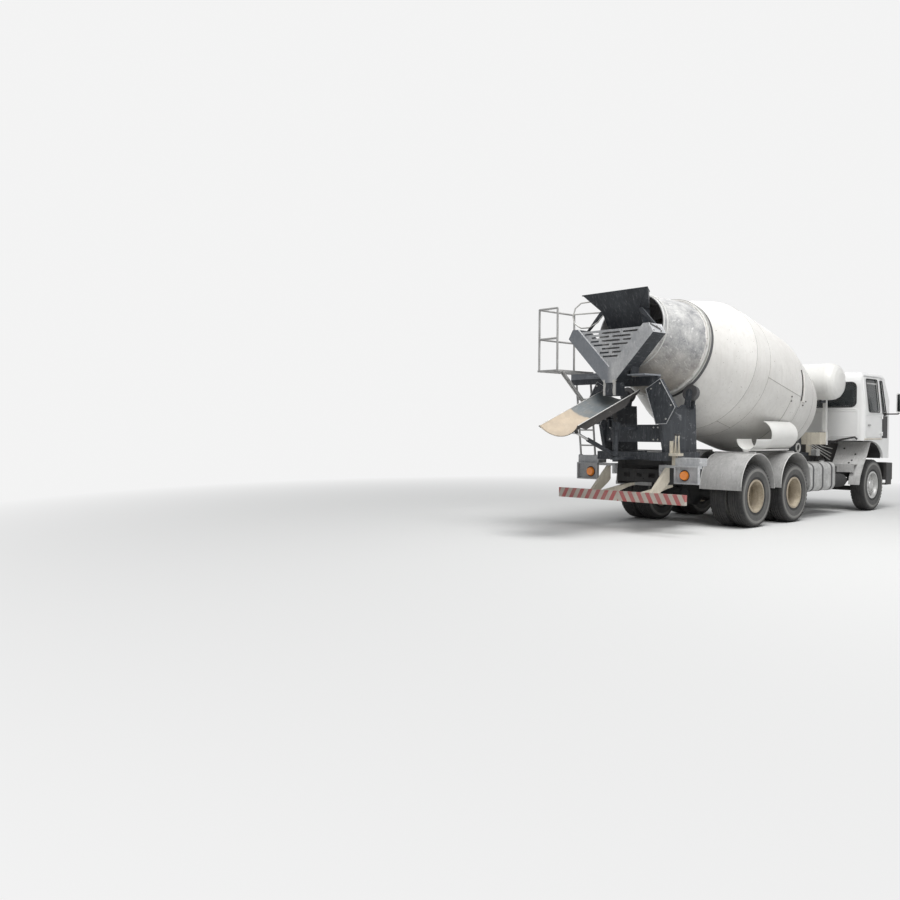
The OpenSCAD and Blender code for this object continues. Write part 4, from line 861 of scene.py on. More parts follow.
def paired(name: str, outline: Outline, spot: Callable[[float, float, int], Vector],
           thick: tuple[float, float], *dress: object) -> None:
    """One piece of two equal plates, one on each side of the truck.

    Args:
        name: Name of the piece.
        outline: Outline of a plate.
        spot: Gives the place of an outline point on a side.
        thick: Thickness along the truck and outwards.
        *dress: Body, finish and slot.
    """
    parts = [Bench.slab([spot(a, b, side.value) for a, b in outline],
                        Vector((thick[0], side.value * thick[1], 0))) for side in BOTH]
    Bench.finish(Bench.join(name, parts), *dress)


# Wheels


@dataclass(frozen=True)
class Station:
    """One wheel: its name, its axle and the middles of its tyres."""

    name: str
    x: float
    side: Side
    middles: tuple[float, ...]

    @property
    def front(self) -> bool:
        """True on the steered axle."""
        return len(self.middles) == 1


@dataclass
class Wheels:
    """Tyres with tread, and the nuts and hub parts of the wheels."""

    place: Place
    radius: float = 0.52
    width: float = 0.275
    rim: float = 0.254
    groove: float = 0.012
    lugs: int = 44
    steps: int = 88
    stations: list[Station] = field(default_factory=list)

    def __post_init__(self) -> None:
        """Lists the six wheels."""
        twin = (1.0625, 0.7425)
        for axle, x, middles in (("front", FRONT_AXLE, (1.0425,)), ("mid", MID_AXLE, twin),
                                 ("rear", 0.0, twin)):
            for side in BOTH:
                self.stations.append(Station(f"{axle}_{side.word}", x, side, middles))

    def section(self) -> list[tuple[float, float]]:
        """Half of the carcass: distance from the middle, radius, from tread to bead."""
        w, r = self.width / 2, self.radius
        return [(0.0, r - 0.002), (0.012, r - 0.002), (0.014, r - self.groove),
                (0.026, r - self.groove), (0.028, r - 0.0025), (0.052, r - 0.0035),
                (0.054, r - self.groove), (0.066, r - self.groove), (0.068, r - 0.005),
                (w - 0.046, r - 0.006), (w - 0.040, r - 0.017), (w - 0.022, r - 0.023),
                (w - 0.012, r - 0.036), (w - 0.006, r - 0.052), (w - 0.002, r - 0.075),
                (w - 0.0035, r - 0.078), (w - 0.0035, r - 0.084), (w - 0.0005, r - 0.088),
                (w - 0.0005, r - 0.112), (w - 0.003, r - 0.140), (w - 0.0055, r - 0.145),
                (w - 0.0055, r - 0.151), (w - 0.009, r - 0.170), (w - 0.017, r - 0.205),
                (w - 0.022, r - 0.222), (w - 0.025, r - 0.236), (w - 0.027, r - 0.248),
                (w - 0.034, self.rim + 0.001)]

    def carcass(self, at: Vector, middle: float) -> Shape:
        """Points and faces of one tyre body."""
        half = self.section()
        profile = [(r, -y) for y, r in reversed(half[1:])] + [(r, y) for y, r in half]
        points, faces = Bench.lathe(profile, self.steps)
        turn = Matrix.Translation(at + Vector((0, middle, 0))) @ Matrix.Rotation(
            math.radians(-90), 4, "X")
        return [turn @ p for p in points], faces

    def lug(self, side: int) -> Shape:
        """One shoulder lug, wedge shaped, at the top of the wheel."""
        w, r = self.width / 2, self.radius
        inner, outer = w - 0.068, w - 0.008
        a, b = 0.021, 0.017
        low = [(-a, inner, r - 0.020), (a, inner, r - 0.020), (b, outer, r - 0.048),
               (-b, outer, r - 0.048)]
        high = [(-a + 0.002, inner, r - 0.0015), (a - 0.002, inner, r - 0.0015),
                (b - 0.002, outer - 0.026, r - 0.006), (-b + 0.002, outer - 0.026, r - 0.006)]
        edge = [(b - 0.003, outer, r - 0.030), (-b + 0.003, outer, r - 0.030)]
        points = [Vector((x, side * y, z)) for x, y, z in low + high + edge]
        faces = [[0, 1, 2, 3], [4, 7, 6, 5], [0, 4, 5, 1], [7, 9, 8, 6], [3, 2, 8, 9],
                 [1, 5, 6, 8, 2], [0, 3, 9, 7, 4]]
        return points, faces

    def tyre(self, station: Station) -> None:
        """Builds the tyres of one wheel and lets them stand for the plain node."""
        at = self.place.at(station.x, 0.0, self.radius)
        sign = station.side.value
        body = f"wheel_{station.name}"
        parts = [self.carcass(at, sign * m) for m in station.middles]
        made = Bench.join(f"tyre_body_{station.name}", parts)
        blocks = []
        for m in station.middles:
            for side in (-1, 1):
                points, faces = self.lug(side)
                blocks.append(([p + Vector((0, sign * m, 0)) for p in points], faces))
        tread = Bench.join(f"tyre_lugs_{station.name}", blocks)
        Trees.grow(tread, Trees.wheel(), {"Count": self.lugs,
                                          "Material": Paint.TREAD.material()})
        tread.data.transform(Matrix.Translation(at))
        Bench.smooth(made, 28.0)

        def within(outer: float, inner: float) -> Mask:
            """Share of the rubber inside a radius, with a soft edge."""
            return lambda g, v: g.span(g.away(v, Vector((0, 1, 0)), at), outer, inner)

        coat = Coat(f"tyre rubber {station.name}", Paint.TREAD, (
            (within(0.480, 0.465), Paint.SIDEWALL), (within(0.452, 0.446), Paint.SCUFFED),
            (within(0.412, 0.404), Paint.SIDEWALL), (within(0.325, 0.310), Paint.TREAD)))
        Bench.finish(made, body, coat, "tyre_rubber")
        Bench.finish(tread, body, Paint.TREAD, "tyre_rubber")
        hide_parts(f"tyre_{station.name}")

    def nuts(self, station: Station) -> None:
        """Wheel nuts with their studs, and the ring of hub bolts."""
        at = self.place.at(station.x, 0.0, self.radius)
        out = Vector((0, station.side.value, 0))
        body = f"wheel_{station.name}"
        coat = Paint.RIM_BRIGHT if station.front else Paint.CAST
        face, ring = (1.1085, 0.135) if station.front else (0.9135, 0.150)
        cap_face, cap_ring = (1.137, 0.070) if station.front else (1.024, 0.056)

        def spots(count: int, shift: float, radius: float, lift: float
                  ) -> list[tuple[Vector, Vector]]:
            """Places on a ring round the hub, each pointing outwards."""
            turns = [math.tau * (i + shift) / count for i in range(count)]
            return [(at + Vector((math.cos(t), 0, math.sin(t))) * radius + out * lift, out)
                    for t in turns]

        for name, places, radius, height, sides in (
                ("wheel_nuts", spots(10, 0.5, ring, face + 0.010), 0.0165, 0.024, 6),
                ("wheel_studs", spots(10, 0.5, ring, face + 0.026), 0.0095, 0.022, 10),
                ("hub_bolts", spots(8, 0.0, cap_ring, cap_face + 0.003), 0.009, 0.012, 6)):
            Fasteners.studs(f"{name}_{station.name}", places, radius, height, body, coat,
                            "rim_steel", sides)

    def ring(self, station: Station) -> None:
        """Split lock ring on the rim edge that shows."""
        at = self.place.at(station.x, 0.0, self.radius)
        out = Vector((0, station.side.value, 0))
        centre = at + out * (station.middles[0] + 0.106)
        path = arc(centre, Vector((0.2655, 0, 0)), Vector((0, 0, 0.2655)), 4, 356, 60)
        coat = Paint.HUB if station.front else Paint.RIM_CREAM
        Fasteners.tubes(f"lock_ring_{station.name}", [path], 0.0065, f"wheel_{station.name}",
                        coat, "rim_steel" if station.front else "rim_cream")

    def build(self) -> None:
        """Dresses the six wheels."""
        for station in self.stations:
            self.tyre(station)
            self.nuts(station)
            self.ring(station)


# Drum


@dataclass
class Drum:
    """Seams, mouth rims, blades, hatch and strap of the drum."""

    axis: DrumAxis
    line: tuple[tuple[float, float], ...] = (
        (0.0, 0.600), (0.94, 0.812), (0.94, 0.830), (1.10, 0.830), (1.50, 1.012),
        (1.95, 1.160), (2.48, 1.170), (3.60, 1.170), (4.10, 1.075), (4.45, 1.000),
        (4.80, 0.920), (4.95, 0.690))
    ring_s: float = 1.02

    def radius(self, s: float) -> float:
        """Outer radius at a distance from the mouth."""
        for (s0, r0), (s1, r1) in zip(self.line, self.line[1:]):
            if s0 < s1 and s0 <= s <= s1:
                return r0 + (r1 - r0) * (s - s0) / (s1 - s0)
        return self.line[-1][1]

    def hoop(self, s: float, lift: float, steps: int = 96, cap: float = 9.0) -> list[Vector]:
        """Closed ring of points on the shell, none of them above the cap."""
        r = self.radius(s) + lift
        ring = [self.axis.at(s, r, 360.0 * i / steps) for i in range(steps)]
        return [Vector((p.x, p.y, min(p.z, cap))) for p in ring]

    def coat(self) -> Coat:
        """White shell with a cement-grey rear cone, with painted shade browner and darker on the
        cone's low side.
        """
        start, along = self.axis.start, self.axis.along

        def cone(g: Graph, at: object) -> object:
            """Share of the grey skin: behind the track ring and inside the mouth."""
            s = g.along(at, along, start)
            wobble = g.times(g.noise(at, 7.0, 4.0), 0.10)
            return g.span(g.plus(s, wobble), 0.985, 0.955)

        def low_side_shade(g: Graph, at: object) -> object:
            """Share of the painted shade, a browner and darker skin, on the low side of the cone.
            """
            low = g.span(g.along(at, self.axis.down, start), 0.15, 0.75)
            return g.times(cone(g, at), g.times(low, 0.75))

        return Coat("drum skin", Paint.DRUM_WHITE, ((cone, Paint.CONE_GREY),
                                                    (low_side_shade, Paint.CONE_LOW_SHADE)))

    def ring_coat(self) -> Coat:
        """Track ring: tread painted dark as shade, with a bright rear edge."""
        start, along = self.axis.start, self.axis.along

        def edge(g: Graph, at: object) -> object:
            """Share of bright steel on the rear face and its corner."""
            return g.span(g.along(at, along, start), self.ring_s - 0.022, self.ring_s - 0.030)

        return Coat("track ring", Paint.DARK_BAND_AND_SHADE, ((edge, Paint.BRIGHT),))

    def seams(self) -> None:
        """Weld seams: hoops where the plates change, and the joints between them."""
        hoops = [self.hoop(s, -0.0025, 240, HIGHEST) for s in (1.95, 2.40, 3.72, 4.45, 4.80)]
        Fasteners.tubes("drum_hoop_seams", hoops, 0.0045, *DRUM_SEAM, True, 6)
        lines = []
        for s0, s1, a0, a1 in ((2.40, 3.62, -83, -83), (1.95, 2.40, -30, -30),
                               (3.33, 3.33, -77, -8), (1.95, 2.40, 150, 150),
                               (3.72, 4.45, 60, 60), (2.40, 3.72, 170, 170),
                               (0.05, 0.93, 100, 100)):
            stops = [(s0 + (s1 - s0) * i / 24, a0 + (a1 - a0) * i / 24) for i in range(25)]
            lines.append([self.axis.at(s, self.radius(s) + 0.0005, a) for s, a in stops])
        Fasteners.tubes("drum_plate_seams", lines, 0.0045, *DRUM_SEAM, False, 6)

    def mouth(self) -> None:
        """Double rolled rim round the mouth and the collars beside the track ring."""
        Fasteners.tubes("mouth_rim", [self.hoop(0.012, 0.002), self.hoop(0.085, 0.004)], 0.011,
                        *DRUM_RIM, True)
        collars = [self.hoop(self.ring_s + d, 0.004) for d in (-0.062, 0.060)]
        Fasteners.tubes("ring_collars", collars, 0.009, *DRUM_RIM, True)

    def blades(self) -> None:
        """Two spiral blades inside the rear cone."""
        first, reach, wind, count = 0.44, 1.26, 430.0, 70
        parts = []
        for turn in (0, 180):
            inner, outer = [], []
            for i in range(count + 1):
                s = first + reach * i / count
                deep = min(0.30, 0.10 + 0.60 * i / count)
                angle = turn + wind * i / count
                wall = self.radius(s) - 0.012
                outer.append(self.axis.at(s, wall, angle))
                inner.append(self.axis.at(s - 0.05, max(wall - deep, 0.2), angle))
            n = count + 1
            parts.append((outer + inner, [[i, i + 1, n + i + 1, n + i] for i in range(count)]))
        made = Bench.join("drum_blades", parts)
        thick = made.modifiers.new("wall", "SOLIDIFY")
        thick.thickness = 0.006
        thick.offset = 0.0
        Bench.bake(made)
        Bench.smooth(made)
        Bench.finish(made, "drum", Paint.CONE_GREY, "drum_paint")

    def hatch(self) -> None:
        """Inspection hatch on the belly with its bolts."""
        s, angle = 2.95, 35.0
        centre = self.axis.at(s, self.radius(s) + 0.004, angle)
        out = (centre - self.axis.at(s, 0.0, 0.0)).normalized()
        across = out.cross(self.axis.along).normalized()
        rim = [centre + self.axis.along * u + across * v
               for u, v in rounded((-0.25, -0.19), (0.25, 0.19), 0.09)]
        made = Bench.join("drum_hatch", [Bench.slab([p - out * 0.022 for p in rim], out * 0.034)])
        Bench.smooth(made)
        Bench.finish(made, *DRUM_PAINT)
        spots = [(centre + self.axis.along * u + across * v + out * 0.016, out)
                 for u, v in rounded((-0.225, -0.165), (0.225, 0.165), 0.07, 1)]
        Fasteners.studs("hatch_bolts", spots, 0.013, 0.014, "drum", Paint.BRIGHT, "ring_steel")

    def on_shell(self, s: float, angle: float, lift: float) -> tuple[Vector, Vector]:
        """Point over the shell and the direction that leads away from the axis."""
        foot = self.axis.at(s, 0.0, angle)
        spot = self.axis.at(s, self.radius(s) + lift, angle)
        return spot, (spot - foot).normalized()

    def strap(self) -> None:
        """Bar bent round the shoulder with a painted shadow beside it, end knob and plate bolts."""
        turns = [-107.0 + 27.0 * i / 14 for i in range(15)]
        # gap holds the line of the strap's painted shadow, close to the shell.
        gap, bar = [[self.on_shell(s + 0.10 * i / 14, a, lift)[0] for i, a in enumerate(turns)]
                    for s, lift in ((3.60, 0.004), (3.68, 0.014))]
        # Black tube as the strap's painted shadow.
        Fasteners.tubes("drum_strap_shadow", [gap], 0.012, "drum", Paint.BLACK, "black_plastic")
        Fasteners.tubes("drum_strap", [bar], 0.022, *DRUM_PAINT)
        Fasteners.studs("drum_strap_knob", [self.on_shell(3.84, -81.5, 0.020)], 0.036, 0.05,
                        *DRUM_PAINT, 20)
        spots = [self.on_shell(t, a, lift) for t, a, lift in (
            (3.84, -81.5, 0.048), (3.87, -78.0, 0.006), (3.32, -79.0, 0.004), (3.35, -75.5, 0.004))]
        Fasteners.studs("drum_strap_bolts", spots, 0.014, 0.016, "drum", Paint.CAST, "ring_steel")

    def build(self, nodes: Nodes) -> None:
        """Dresses the drum."""
        Wardrobe.wear(nodes, "drum_shell", self.coat())
        Wardrobe.wear(nodes, "drum_ring", self.ring_coat())
        self.seams()
        self.mouth()
        self.blades()
        self.hatch()
        self.strap()


# Cab


@dataclass
class Cab:
    """Window rubbers, trim, grille, wipers, handles, lenses and mirror faces of the cab."""

    place: Place
    rear: float = 4.30
    front: float = 5.85
    half: float = 1.20

    def loop_x(self, x: float, outline: Outline) -> list[Vector]:
        """Outline in Y and Z at a place along the truck."""
        return [self.place.at(x, y, z) for y, z in outline]

    def seals(self) -> None:
        """Rubber round the rear window, the windscreen, quarter and door windows."""
        rear = self.loop_x(self.rear - 0.002, rounded((-1.035, 2.10), (1.035, 2.585), 0.10))
        Fasteners.tubes("rear_window_rubber", [rear], 0.014, *CAB_SEAL, True)
        lean = [self.place.at(self.screen_x(y, z) + 0.001, y, z)
                for y, z in rounded((-1.02, 1.98), (1.02, 2.65), 0.10)]
        Fasteners.tubes("windscreen_rubber", [lean], 0.013, *CAB_SEAL, True)
        quarter = self.soften(((5.215, 1.975), (5.405, 1.975), (5.335, 2.645), (5.215, 2.645)))
        Fasteners.tubes("quarter_window_rubbers", [self.on_flank(quarter, side, 0.001)
                                                   for side in BOTH], 0.011, *CAB_SEAL, True)
        for side in BOTH:
            door = self.on_flank(rounded((4.525, 1.995), (5.08, 2.66), 0.045), side, 0.001)
            Fasteners.tubes(f"door_window_rubber_{side.word}", [door], 0.010,
                            f"door_{side.word}", Paint.RUBBER, "mirror_housing", True)

    def screen_x(self, y: float, z: float) -> float:
        """Front face of the cab at a height, drawn back at its rounded corners."""
        x = self.front - 0.10 - (z - 1.93) * (0.265 / 0.775) if z > 1.93 else self.front - 0.05
        bend = abs(y) - 0.86
        if bend > 0:
            x = min(x, self.front - 0.34 + math.sqrt(max(0.34 ** 2 - bend ** 2, 0.0)))
        return x

    def flank(self, x: float, z: float, side: Side, lift: float) -> Vector:
        """Point on the cab's side at a place and height."""
        lean = min(max(0.0, z - 2.0), 0.68) * (0.075 / 0.68)
        if z > 2.68:
            lean += 0.12 - math.sqrt(max(0.12 ** 2 - (z - 2.68) ** 2, 0.0))
        y = self.half - lean + lift
        corner = x - (self.front - 0.34)
        if corner > 0:
            y = min(y, self.half - 0.34 + math.sqrt(max(0.34 ** 2 - corner ** 2, 0.0)) + lift)
        return self.place.at(x, side.value * y, z)

    def on_flank(self, outline: Outline, side: Side, lift: float) -> list[Vector]:
        """Outline in X and Z laid on the cab's side."""
        return [self.flank(x, z, side, lift) for x, z in outline]

    @staticmethod
    def soften(corners: Outline, cut: float = 0.03) -> list[tuple[float, float]]:
        """Outline with its corners cut by short curves."""
        out = []
        n = len(corners)
        for i, here in enumerate(corners):
            p, q = Vector((*corners[i - 1], 0)), Vector((*corners[(i + 1) % n], 0))
            c = Vector((*here, 0))
            a, b = c + (p - c).normalized() * cut, c + (q - c).normalized() * cut
            for k in range(5):
                t = k / 4
                m = a * (1 - t) ** 2 + c * 2 * t * (1 - t) + b * t * t
                out.append((m.x, m.y))
        return out

    def rear_panel(self) -> None:
        """Pressed beads on the rear wall, below the window."""
        loops = [self.loop_x(self.rear + 0.002, rounded((-y, low), (y, high), r))
                 for y, low, high, r in ((1.08, 1.48, 2.05, 0.07), (1.055, 1.51, 2.02, 0.05))]
        Fasteners.tubes("rear_panel_beads", loops, 0.010, *CAB_PAINT, True)

    def gutters(self) -> None:
        """Drip rails over the doors."""
        line = ((4.37, 2.05), (4.37, 2.70), (4.43, 2.725), (5.16, 2.725), (5.36, 2.70))
        paths = [self.on_flank(line, side, 0.004) for side in BOTH]
        Fasteners.tubes("drip_rails", paths, 0.009, *CAB_PAINT)

    def corner_trim(self) -> None:
        """Dark air panels on the front corners, under the quarter windows."""
        parts = []
        for side in BOTH:
            outer, inner = [], []
            for i in range(9):
                x = 5.205 + 0.265 * i / 8
                for z in (1.47, 1.92):
                    outer.append(self.flank(x, z, side, 0.006))
                    inner.append(self.flank(x, z, side, -0.004))
            n = len(outer)
            points = outer + inner
            faces = [[2 * i, 2 * i + 2, 2 * i + 3, 2 * i + 1] for i in range(8)]
            faces += [[n + a for a in f[::-1]] for f in faces]
            faces += [[2 * i, n + 2 * i, n + 2 * i + 2, 2 * i + 2] for i in range(8)]
            faces += [[2 * i + 1, 2 * i + 3, n + 2 * i + 3, n + 2 * i + 1] for i in range(8)]
            faces += [[0, 1, n + 1, n], [16, n + 16, n + 17, 17]]
            parts.append((points, faces))
        made = Bench.join("corner_air_panels", parts)
        Bench.smooth(made)
        Bench.finish(made, *CAB_BLACK)

    def grille(self) -> None:
        """Front grille: frame and slats between the lamps."""
        x = self.front - 0.004
        bar = Bench.join("grille_slats", [Bench.box(tuple(self.place.at(x - 0.006, -0.80, 1.20)),
                                                    tuple(self.place.at(x + 0.004, 0.80, 1.222)))])
        Trees.grow(bar, Trees.row(), {"Count": 8, "Step": (0.0, 0.0, 0.050),
                                      "Material": Paint.BLACK.material()})
        Bench.finish(bar, *CAB_BLACK)
        ring = self.loop_x(x - 0.004, rounded((-0.84, 1.17), (0.84, 1.62), 0.05))
        Fasteners.tubes("grille_frame", [ring], 0.011, *CAB_BLACK, True)
        ribs = [self.loop_x(x - 0.006, ((y, 1.17), (y, 1.62)))
                for y in (-0.84, -0.42, 0.0, 0.42, 0.84)]
        Fasteners.tubes("grille_ribs", ribs, 0.007, *CAB_BLACK)

    def wipers(self) -> None:
        """Two wiper arms with blades on the windscreen."""
        arms, blades = [], []
        for y in (-0.55, 0.35):
            foot = self.place.at(self.screen_x(y, 1.93) + 0.004, y, 1.93)
            tip = self.place.at(self.screen_x(y - 0.42, 2.20) + 0.004, y - 0.42, 2.20)
            arms.append([foot, tip])
            blades.append([self.place.at(self.screen_x(y + d, z) + 0.003, y + d, z)
                           for d, z in ((-0.62, 2.06), (-0.42, 2.20), (-0.20, 2.34))])
        Fasteners.tubes("wiper_arms", arms, 0.007, *CAB_BLACK)
        Fasteners.tubes("wiper_blades", blades, 0.005, *CAB_SEAL)

    def door_parts(self) -> None:
        """Door handles and swage lines."""
        for side in BOTH:
            body = f"door_{side.word}"
            plate = Bench.join(f"door_handle_{side.word}", [
                Bench.slab(self.on_flank(rounded(low, high, r), side, lift),
                           Vector((0, side.value * thick, 0)))
                for low, high, r, lift, thick in (
                    ((4.47, 1.71), (4.60, 1.75), 0.018, -0.002, 0.008),
                    ((4.48, 1.72), (4.59, 1.74), 0.008, 0.005, 0.016))])
            Bench.smooth(plate)
            Bench.finish(plate, body, Paint.TANK_METAL, "rim_steel")
            lines = [[self.flank(x, z, side, 0.001) for x in (4.43, 4.65, 4.90, 5.13)]
                     for z in (1.93, 1.50)]
            Fasteners.tubes(f"door_swages_{side.word}", lines, 0.005, body,
                            Paint.CAB_WHITE, "cab_white")

    def mirror_faces(self) -> None:
        """Mirror glass on the rear faces and the dark clamps on the arms."""
        paired("mirror_faces", rounded((1.436, 2.012), (1.553, 2.368), 0.03),
               lambda y, z, s: self.place.at(5.3495, s * y, z), (-0.002, 0),
               "cab", Paint.MIRROR, "mirror_housing")
        clamps = [self.flank(5.28, z, side, 0.030) for side in BOTH for z in (1.945, 1.985)]
        Fasteners.studs("mirror_clamps", [(p, Vector((0, 0, 1))) for p in clamps], 0.026, 0.018,
                        *CAB_BLACK, 14)

    def aprons(self) -> None:
        """Inner panels of the front wheel arches, black as painted shade inside the arches."""
        corners = ((5.34, 1.36), (5.34, 1.10), (5.42, 0.985), (5.79, 0.985), (5.79, 1.40),
                   (5.60, 1.41))
        paired("arch_shade_aprons", corners, lambda x, z, s: self.place.at(x, s * 0.585, z),
               (0, 0.006), *CAB_BLACK)

    def window_rails(self) -> None:
        """Pale rail across the upper part of each door window, and the sill mouldings."""
        for side in BOTH:
            rail = [self.flank(x, 2.57, side, -0.016) for x in (4.545, 4.8, 5.04)]
            Fasteners.tubes(f"door_window_rail_{side.word}", [rail], 0.017, f"door_{side.word}",
                            Paint.TANK_METAL, "cab_white")
        sills = [[self.flank(x, 1.452, side, 0.002) for x in (4.34, 4.7, 5.05, 5.19)]
                 for side in BOTH]
        Fasteners.tubes("door_sills", sills, 0.011, "cab", Paint.CREAM, "cab_white")

    def markers(self) -> None:
        """Indicator lenses on the cab's front."""
        paired("corner_lenses", rounded((0.66, 1.66), (0.82, 1.72), 0.02),
               lambda y, z, s: self.place.at(self.front - 0.012, s * y, z), (0.011, 0),
               "cab", Paint.AMBER, "amber_lens")

    def build(self) -> None:
        """Dresses the cab."""
        self.seals()
        self.rear_panel()
        self.gutters()
        self.corner_trim()
        self.grille()
        self.wipers()
        self.door_parts()
        self.mirror_faces()
        self.window_rails()
        self.aprons()
        self.markers()


# Chassis and rear frame


# Place along the truck, height, distance from the middle and direction of each mudguard hole
HOLES = ((4.545, 1.253, 0.72, (-0.843, 0, 0.538)), (4.473, 1.141, 0.97, (-0.843, 0, 0.538)),
         (4.373, 1.020, 0.94, (-0.755, 0, 0.655)), (4.328, 0.968, 0.90, (-0.755, 0, 0.655)))


@dataclass
class Chassis:
    """Bolts, hoses, beads and trims that ride on the chassis."""

    place: Place

    def rail_bolts(self) -> None:
        """Bolt rows on the frame rails."""
        spots = [(self.place.at(-1.45 + 0.21 * i, side.value * 0.433, z),
                  Vector((0, side.value, 0)))
                 for side in BOTH for i in range(34) for z in (0.775, 0.915)]
        Fasteners.studs("rail_bolts", spots, 0.011, 0.012, "chassis", Paint.CAST, "chassis_paint")

    def hoses(self) -> None:
        """Air and fluid lines along the rails and behind the cab."""
        along = [-1.2 + 0.25 * i for i in range(22)]
        paths = [self.place.many([(x, side * (0.442 + 0.004 * math.sin(x * 3)), z) for x in along])
                 for side, z in ((-1, 0.955), (-1, 0.935), (1, 0.955))]
        paths += [self.place.many([
            (3.62, y, 1.02), (3.72, y, 1.16), (3.84, y, 1.22), (3.98, y * 0.97, 1.20),
            (4.12, y * 0.93, 1.14), (4.26, y * 0.9, 1.12), (4.36, y * 0.82, 1.16)])
                  for y in (-0.46, -0.52, -0.58)]
        Fasteners.tubes("chassis_lines", paths, 0.011, "chassis", Paint.RUBBER, "black_plastic")

    def fender_beads(self) -> None:
        """Rolled edges of the rear fenders."""
        height, radius = 0.66, 0.5605
        paths = [arc(self.place.at(x, side.value * y, height), Vector((radius, 0, 0)),
                     Vector((0, 0, radius)), 2, 178, 40)
                 for side in BOTH for x in (0.0, MID_AXLE) for y in (0.478, 1.214)]
        Fasteners.tubes("fender_beads", paths, 0.0065, "chassis", Paint.SCOURED, "dusty_grey")

    def tank_parts(self) -> None:
        """Seams and filler cap of the fuel tank."""
        seams = [[self.place.at(x, -y, z)
                  for y, z in rounded((0.501, 0.491), (1.143, 1.019), 0.119, 8)]
                 for x in (2.056, 2.585, 3.114)]
        Fasteners.tubes("fuel_tank_seams", seams, 0.0035, "chassis", Paint.TANK_METAL,
                        "tank_aluminium", True, 6)
        spots = [(self.place.at(2.87, -0.99, 1.062), Vector((0, 0, 1)))]
        Fasteners.studs("fuel_cap", spots, 0.052, 0.024, *BLACK_TRIM, 24)

    def bumper(self) -> None:
        """Lamp bezels and step treads of the bumper."""
        loops = [[self.place.at(6.0755, side.value * y, z)
                  for y, z in rounded((0.545, 0.635), (0.855, 0.785), 0.025)] for side in BOTH]
        Fasteners.tubes("lamp_bezels", loops, 0.0035, *BRIGHT_TRIM, True)
        ribs = []
        for side in BOTH:
            made = [self.place.at(5.50 + 0.0435 * i, side.value * 1.05, 0.527) for i in range(6)]
            ribs += [[p + Vector((0, -0.10, 0)), p + Vector((0, 0.10, 0))] for p in made]
        Fasteners.tubes("step_treads", ribs, 0.004, *BRIGHT_TRIM, False, 6)

    def mudguard_hole_shades(self) -> None:
        """Black discs in the rear faces of the front mudguards: painted shade inside their holes.
        """
        spots = [(self.place.at(x, side.value * y, z), Vector(back))
                 for side in BOTH for x, z, y, back in HOLES]
        # Black studs as the painted shade inside each hole.
        Fasteners.studs("mudguard_hole_shades", spots, 0.020, 0.019, *BLACK_TRIM, 14)

    def cab_lines(self) -> None:
        """Pipes down from the tank stand, a bent stay, a coiled hose and a valve box."""
        pipes = [self.place.many([(3.16 + d, -0.60, 1.335), (3.24 + d, -0.605, 1.31),
                                  (4.10 + 0.2 * d, -0.615, 1.03 + 0.45 * d)])
                 for d in (0.0, 0.14, 0.28, 0.50)]
        Fasteners.tubes("cab_pipes", pipes, 0.009, *BRIGHT_BARS)
        stay = self.place.many([(4.22, -0.44, 1.26), (4.225, -0.54, 1.36), (4.23, -0.70, 1.42),
                                (4.235, -0.88, 1.46), (4.24, -1.04, 1.49), (4.245, -1.09, 1.45)])
        Fasteners.tubes("cab_stay", [stay], 0.019, *BLACK_TRIM)
        coil = arc(self.place.at(2.72, -0.60, 1.285), Vector((0.078, 0, 0)),
                   Vector((0, 0, 0.078)), -80, 262, 30)
        Fasteners.tubes("hose_coil", [coil], 0.017, "chassis", Paint.SCOURED, "ring_steel")
        box = [self.place.at(x, -0.50, z) for x, z in rounded((3.50, 1.115), (3.66, 1.25), 0.02)]
        made = Bench.join("valve_box", [Bench.slab(box, Vector((0, -0.11, 0)))])
        Bench.smooth(made)
        Bench.finish(made, "chassis", Paint.TANK_METAL, "rim_steel")

    def stand_ends(self) -> None:
        """Plates that close the ends of the tank stand, with the foot of each post."""
        paired("stand_end_plates", rounded((3.602, 1.342), (3.948, 1.578), 0.012),
               lambda x, z, s: self.place.at(x, s * 0.6205, z), (0, 0.005),
               "chassis", Paint.CREAM, "cream_paint")
        paired("stand_post_feet", rounded((3.872, 1.332), (3.948, 1.60), 0.006),
               lambda x, z, s: self.place.at(x, s * 0.626, z), (0, 0.008),
               "chassis", Paint.TANK_WHITE, "cream_paint")

    def build(self) -> None:
        """Dresses the chassis."""
        self.mudguard_hole_shades()
        self.cab_lines()
        self.stand_ends()
        self.rail_bolts()
        self.hoses()
        self.fender_beads()
        self.tank_parts()
        self.bumper()


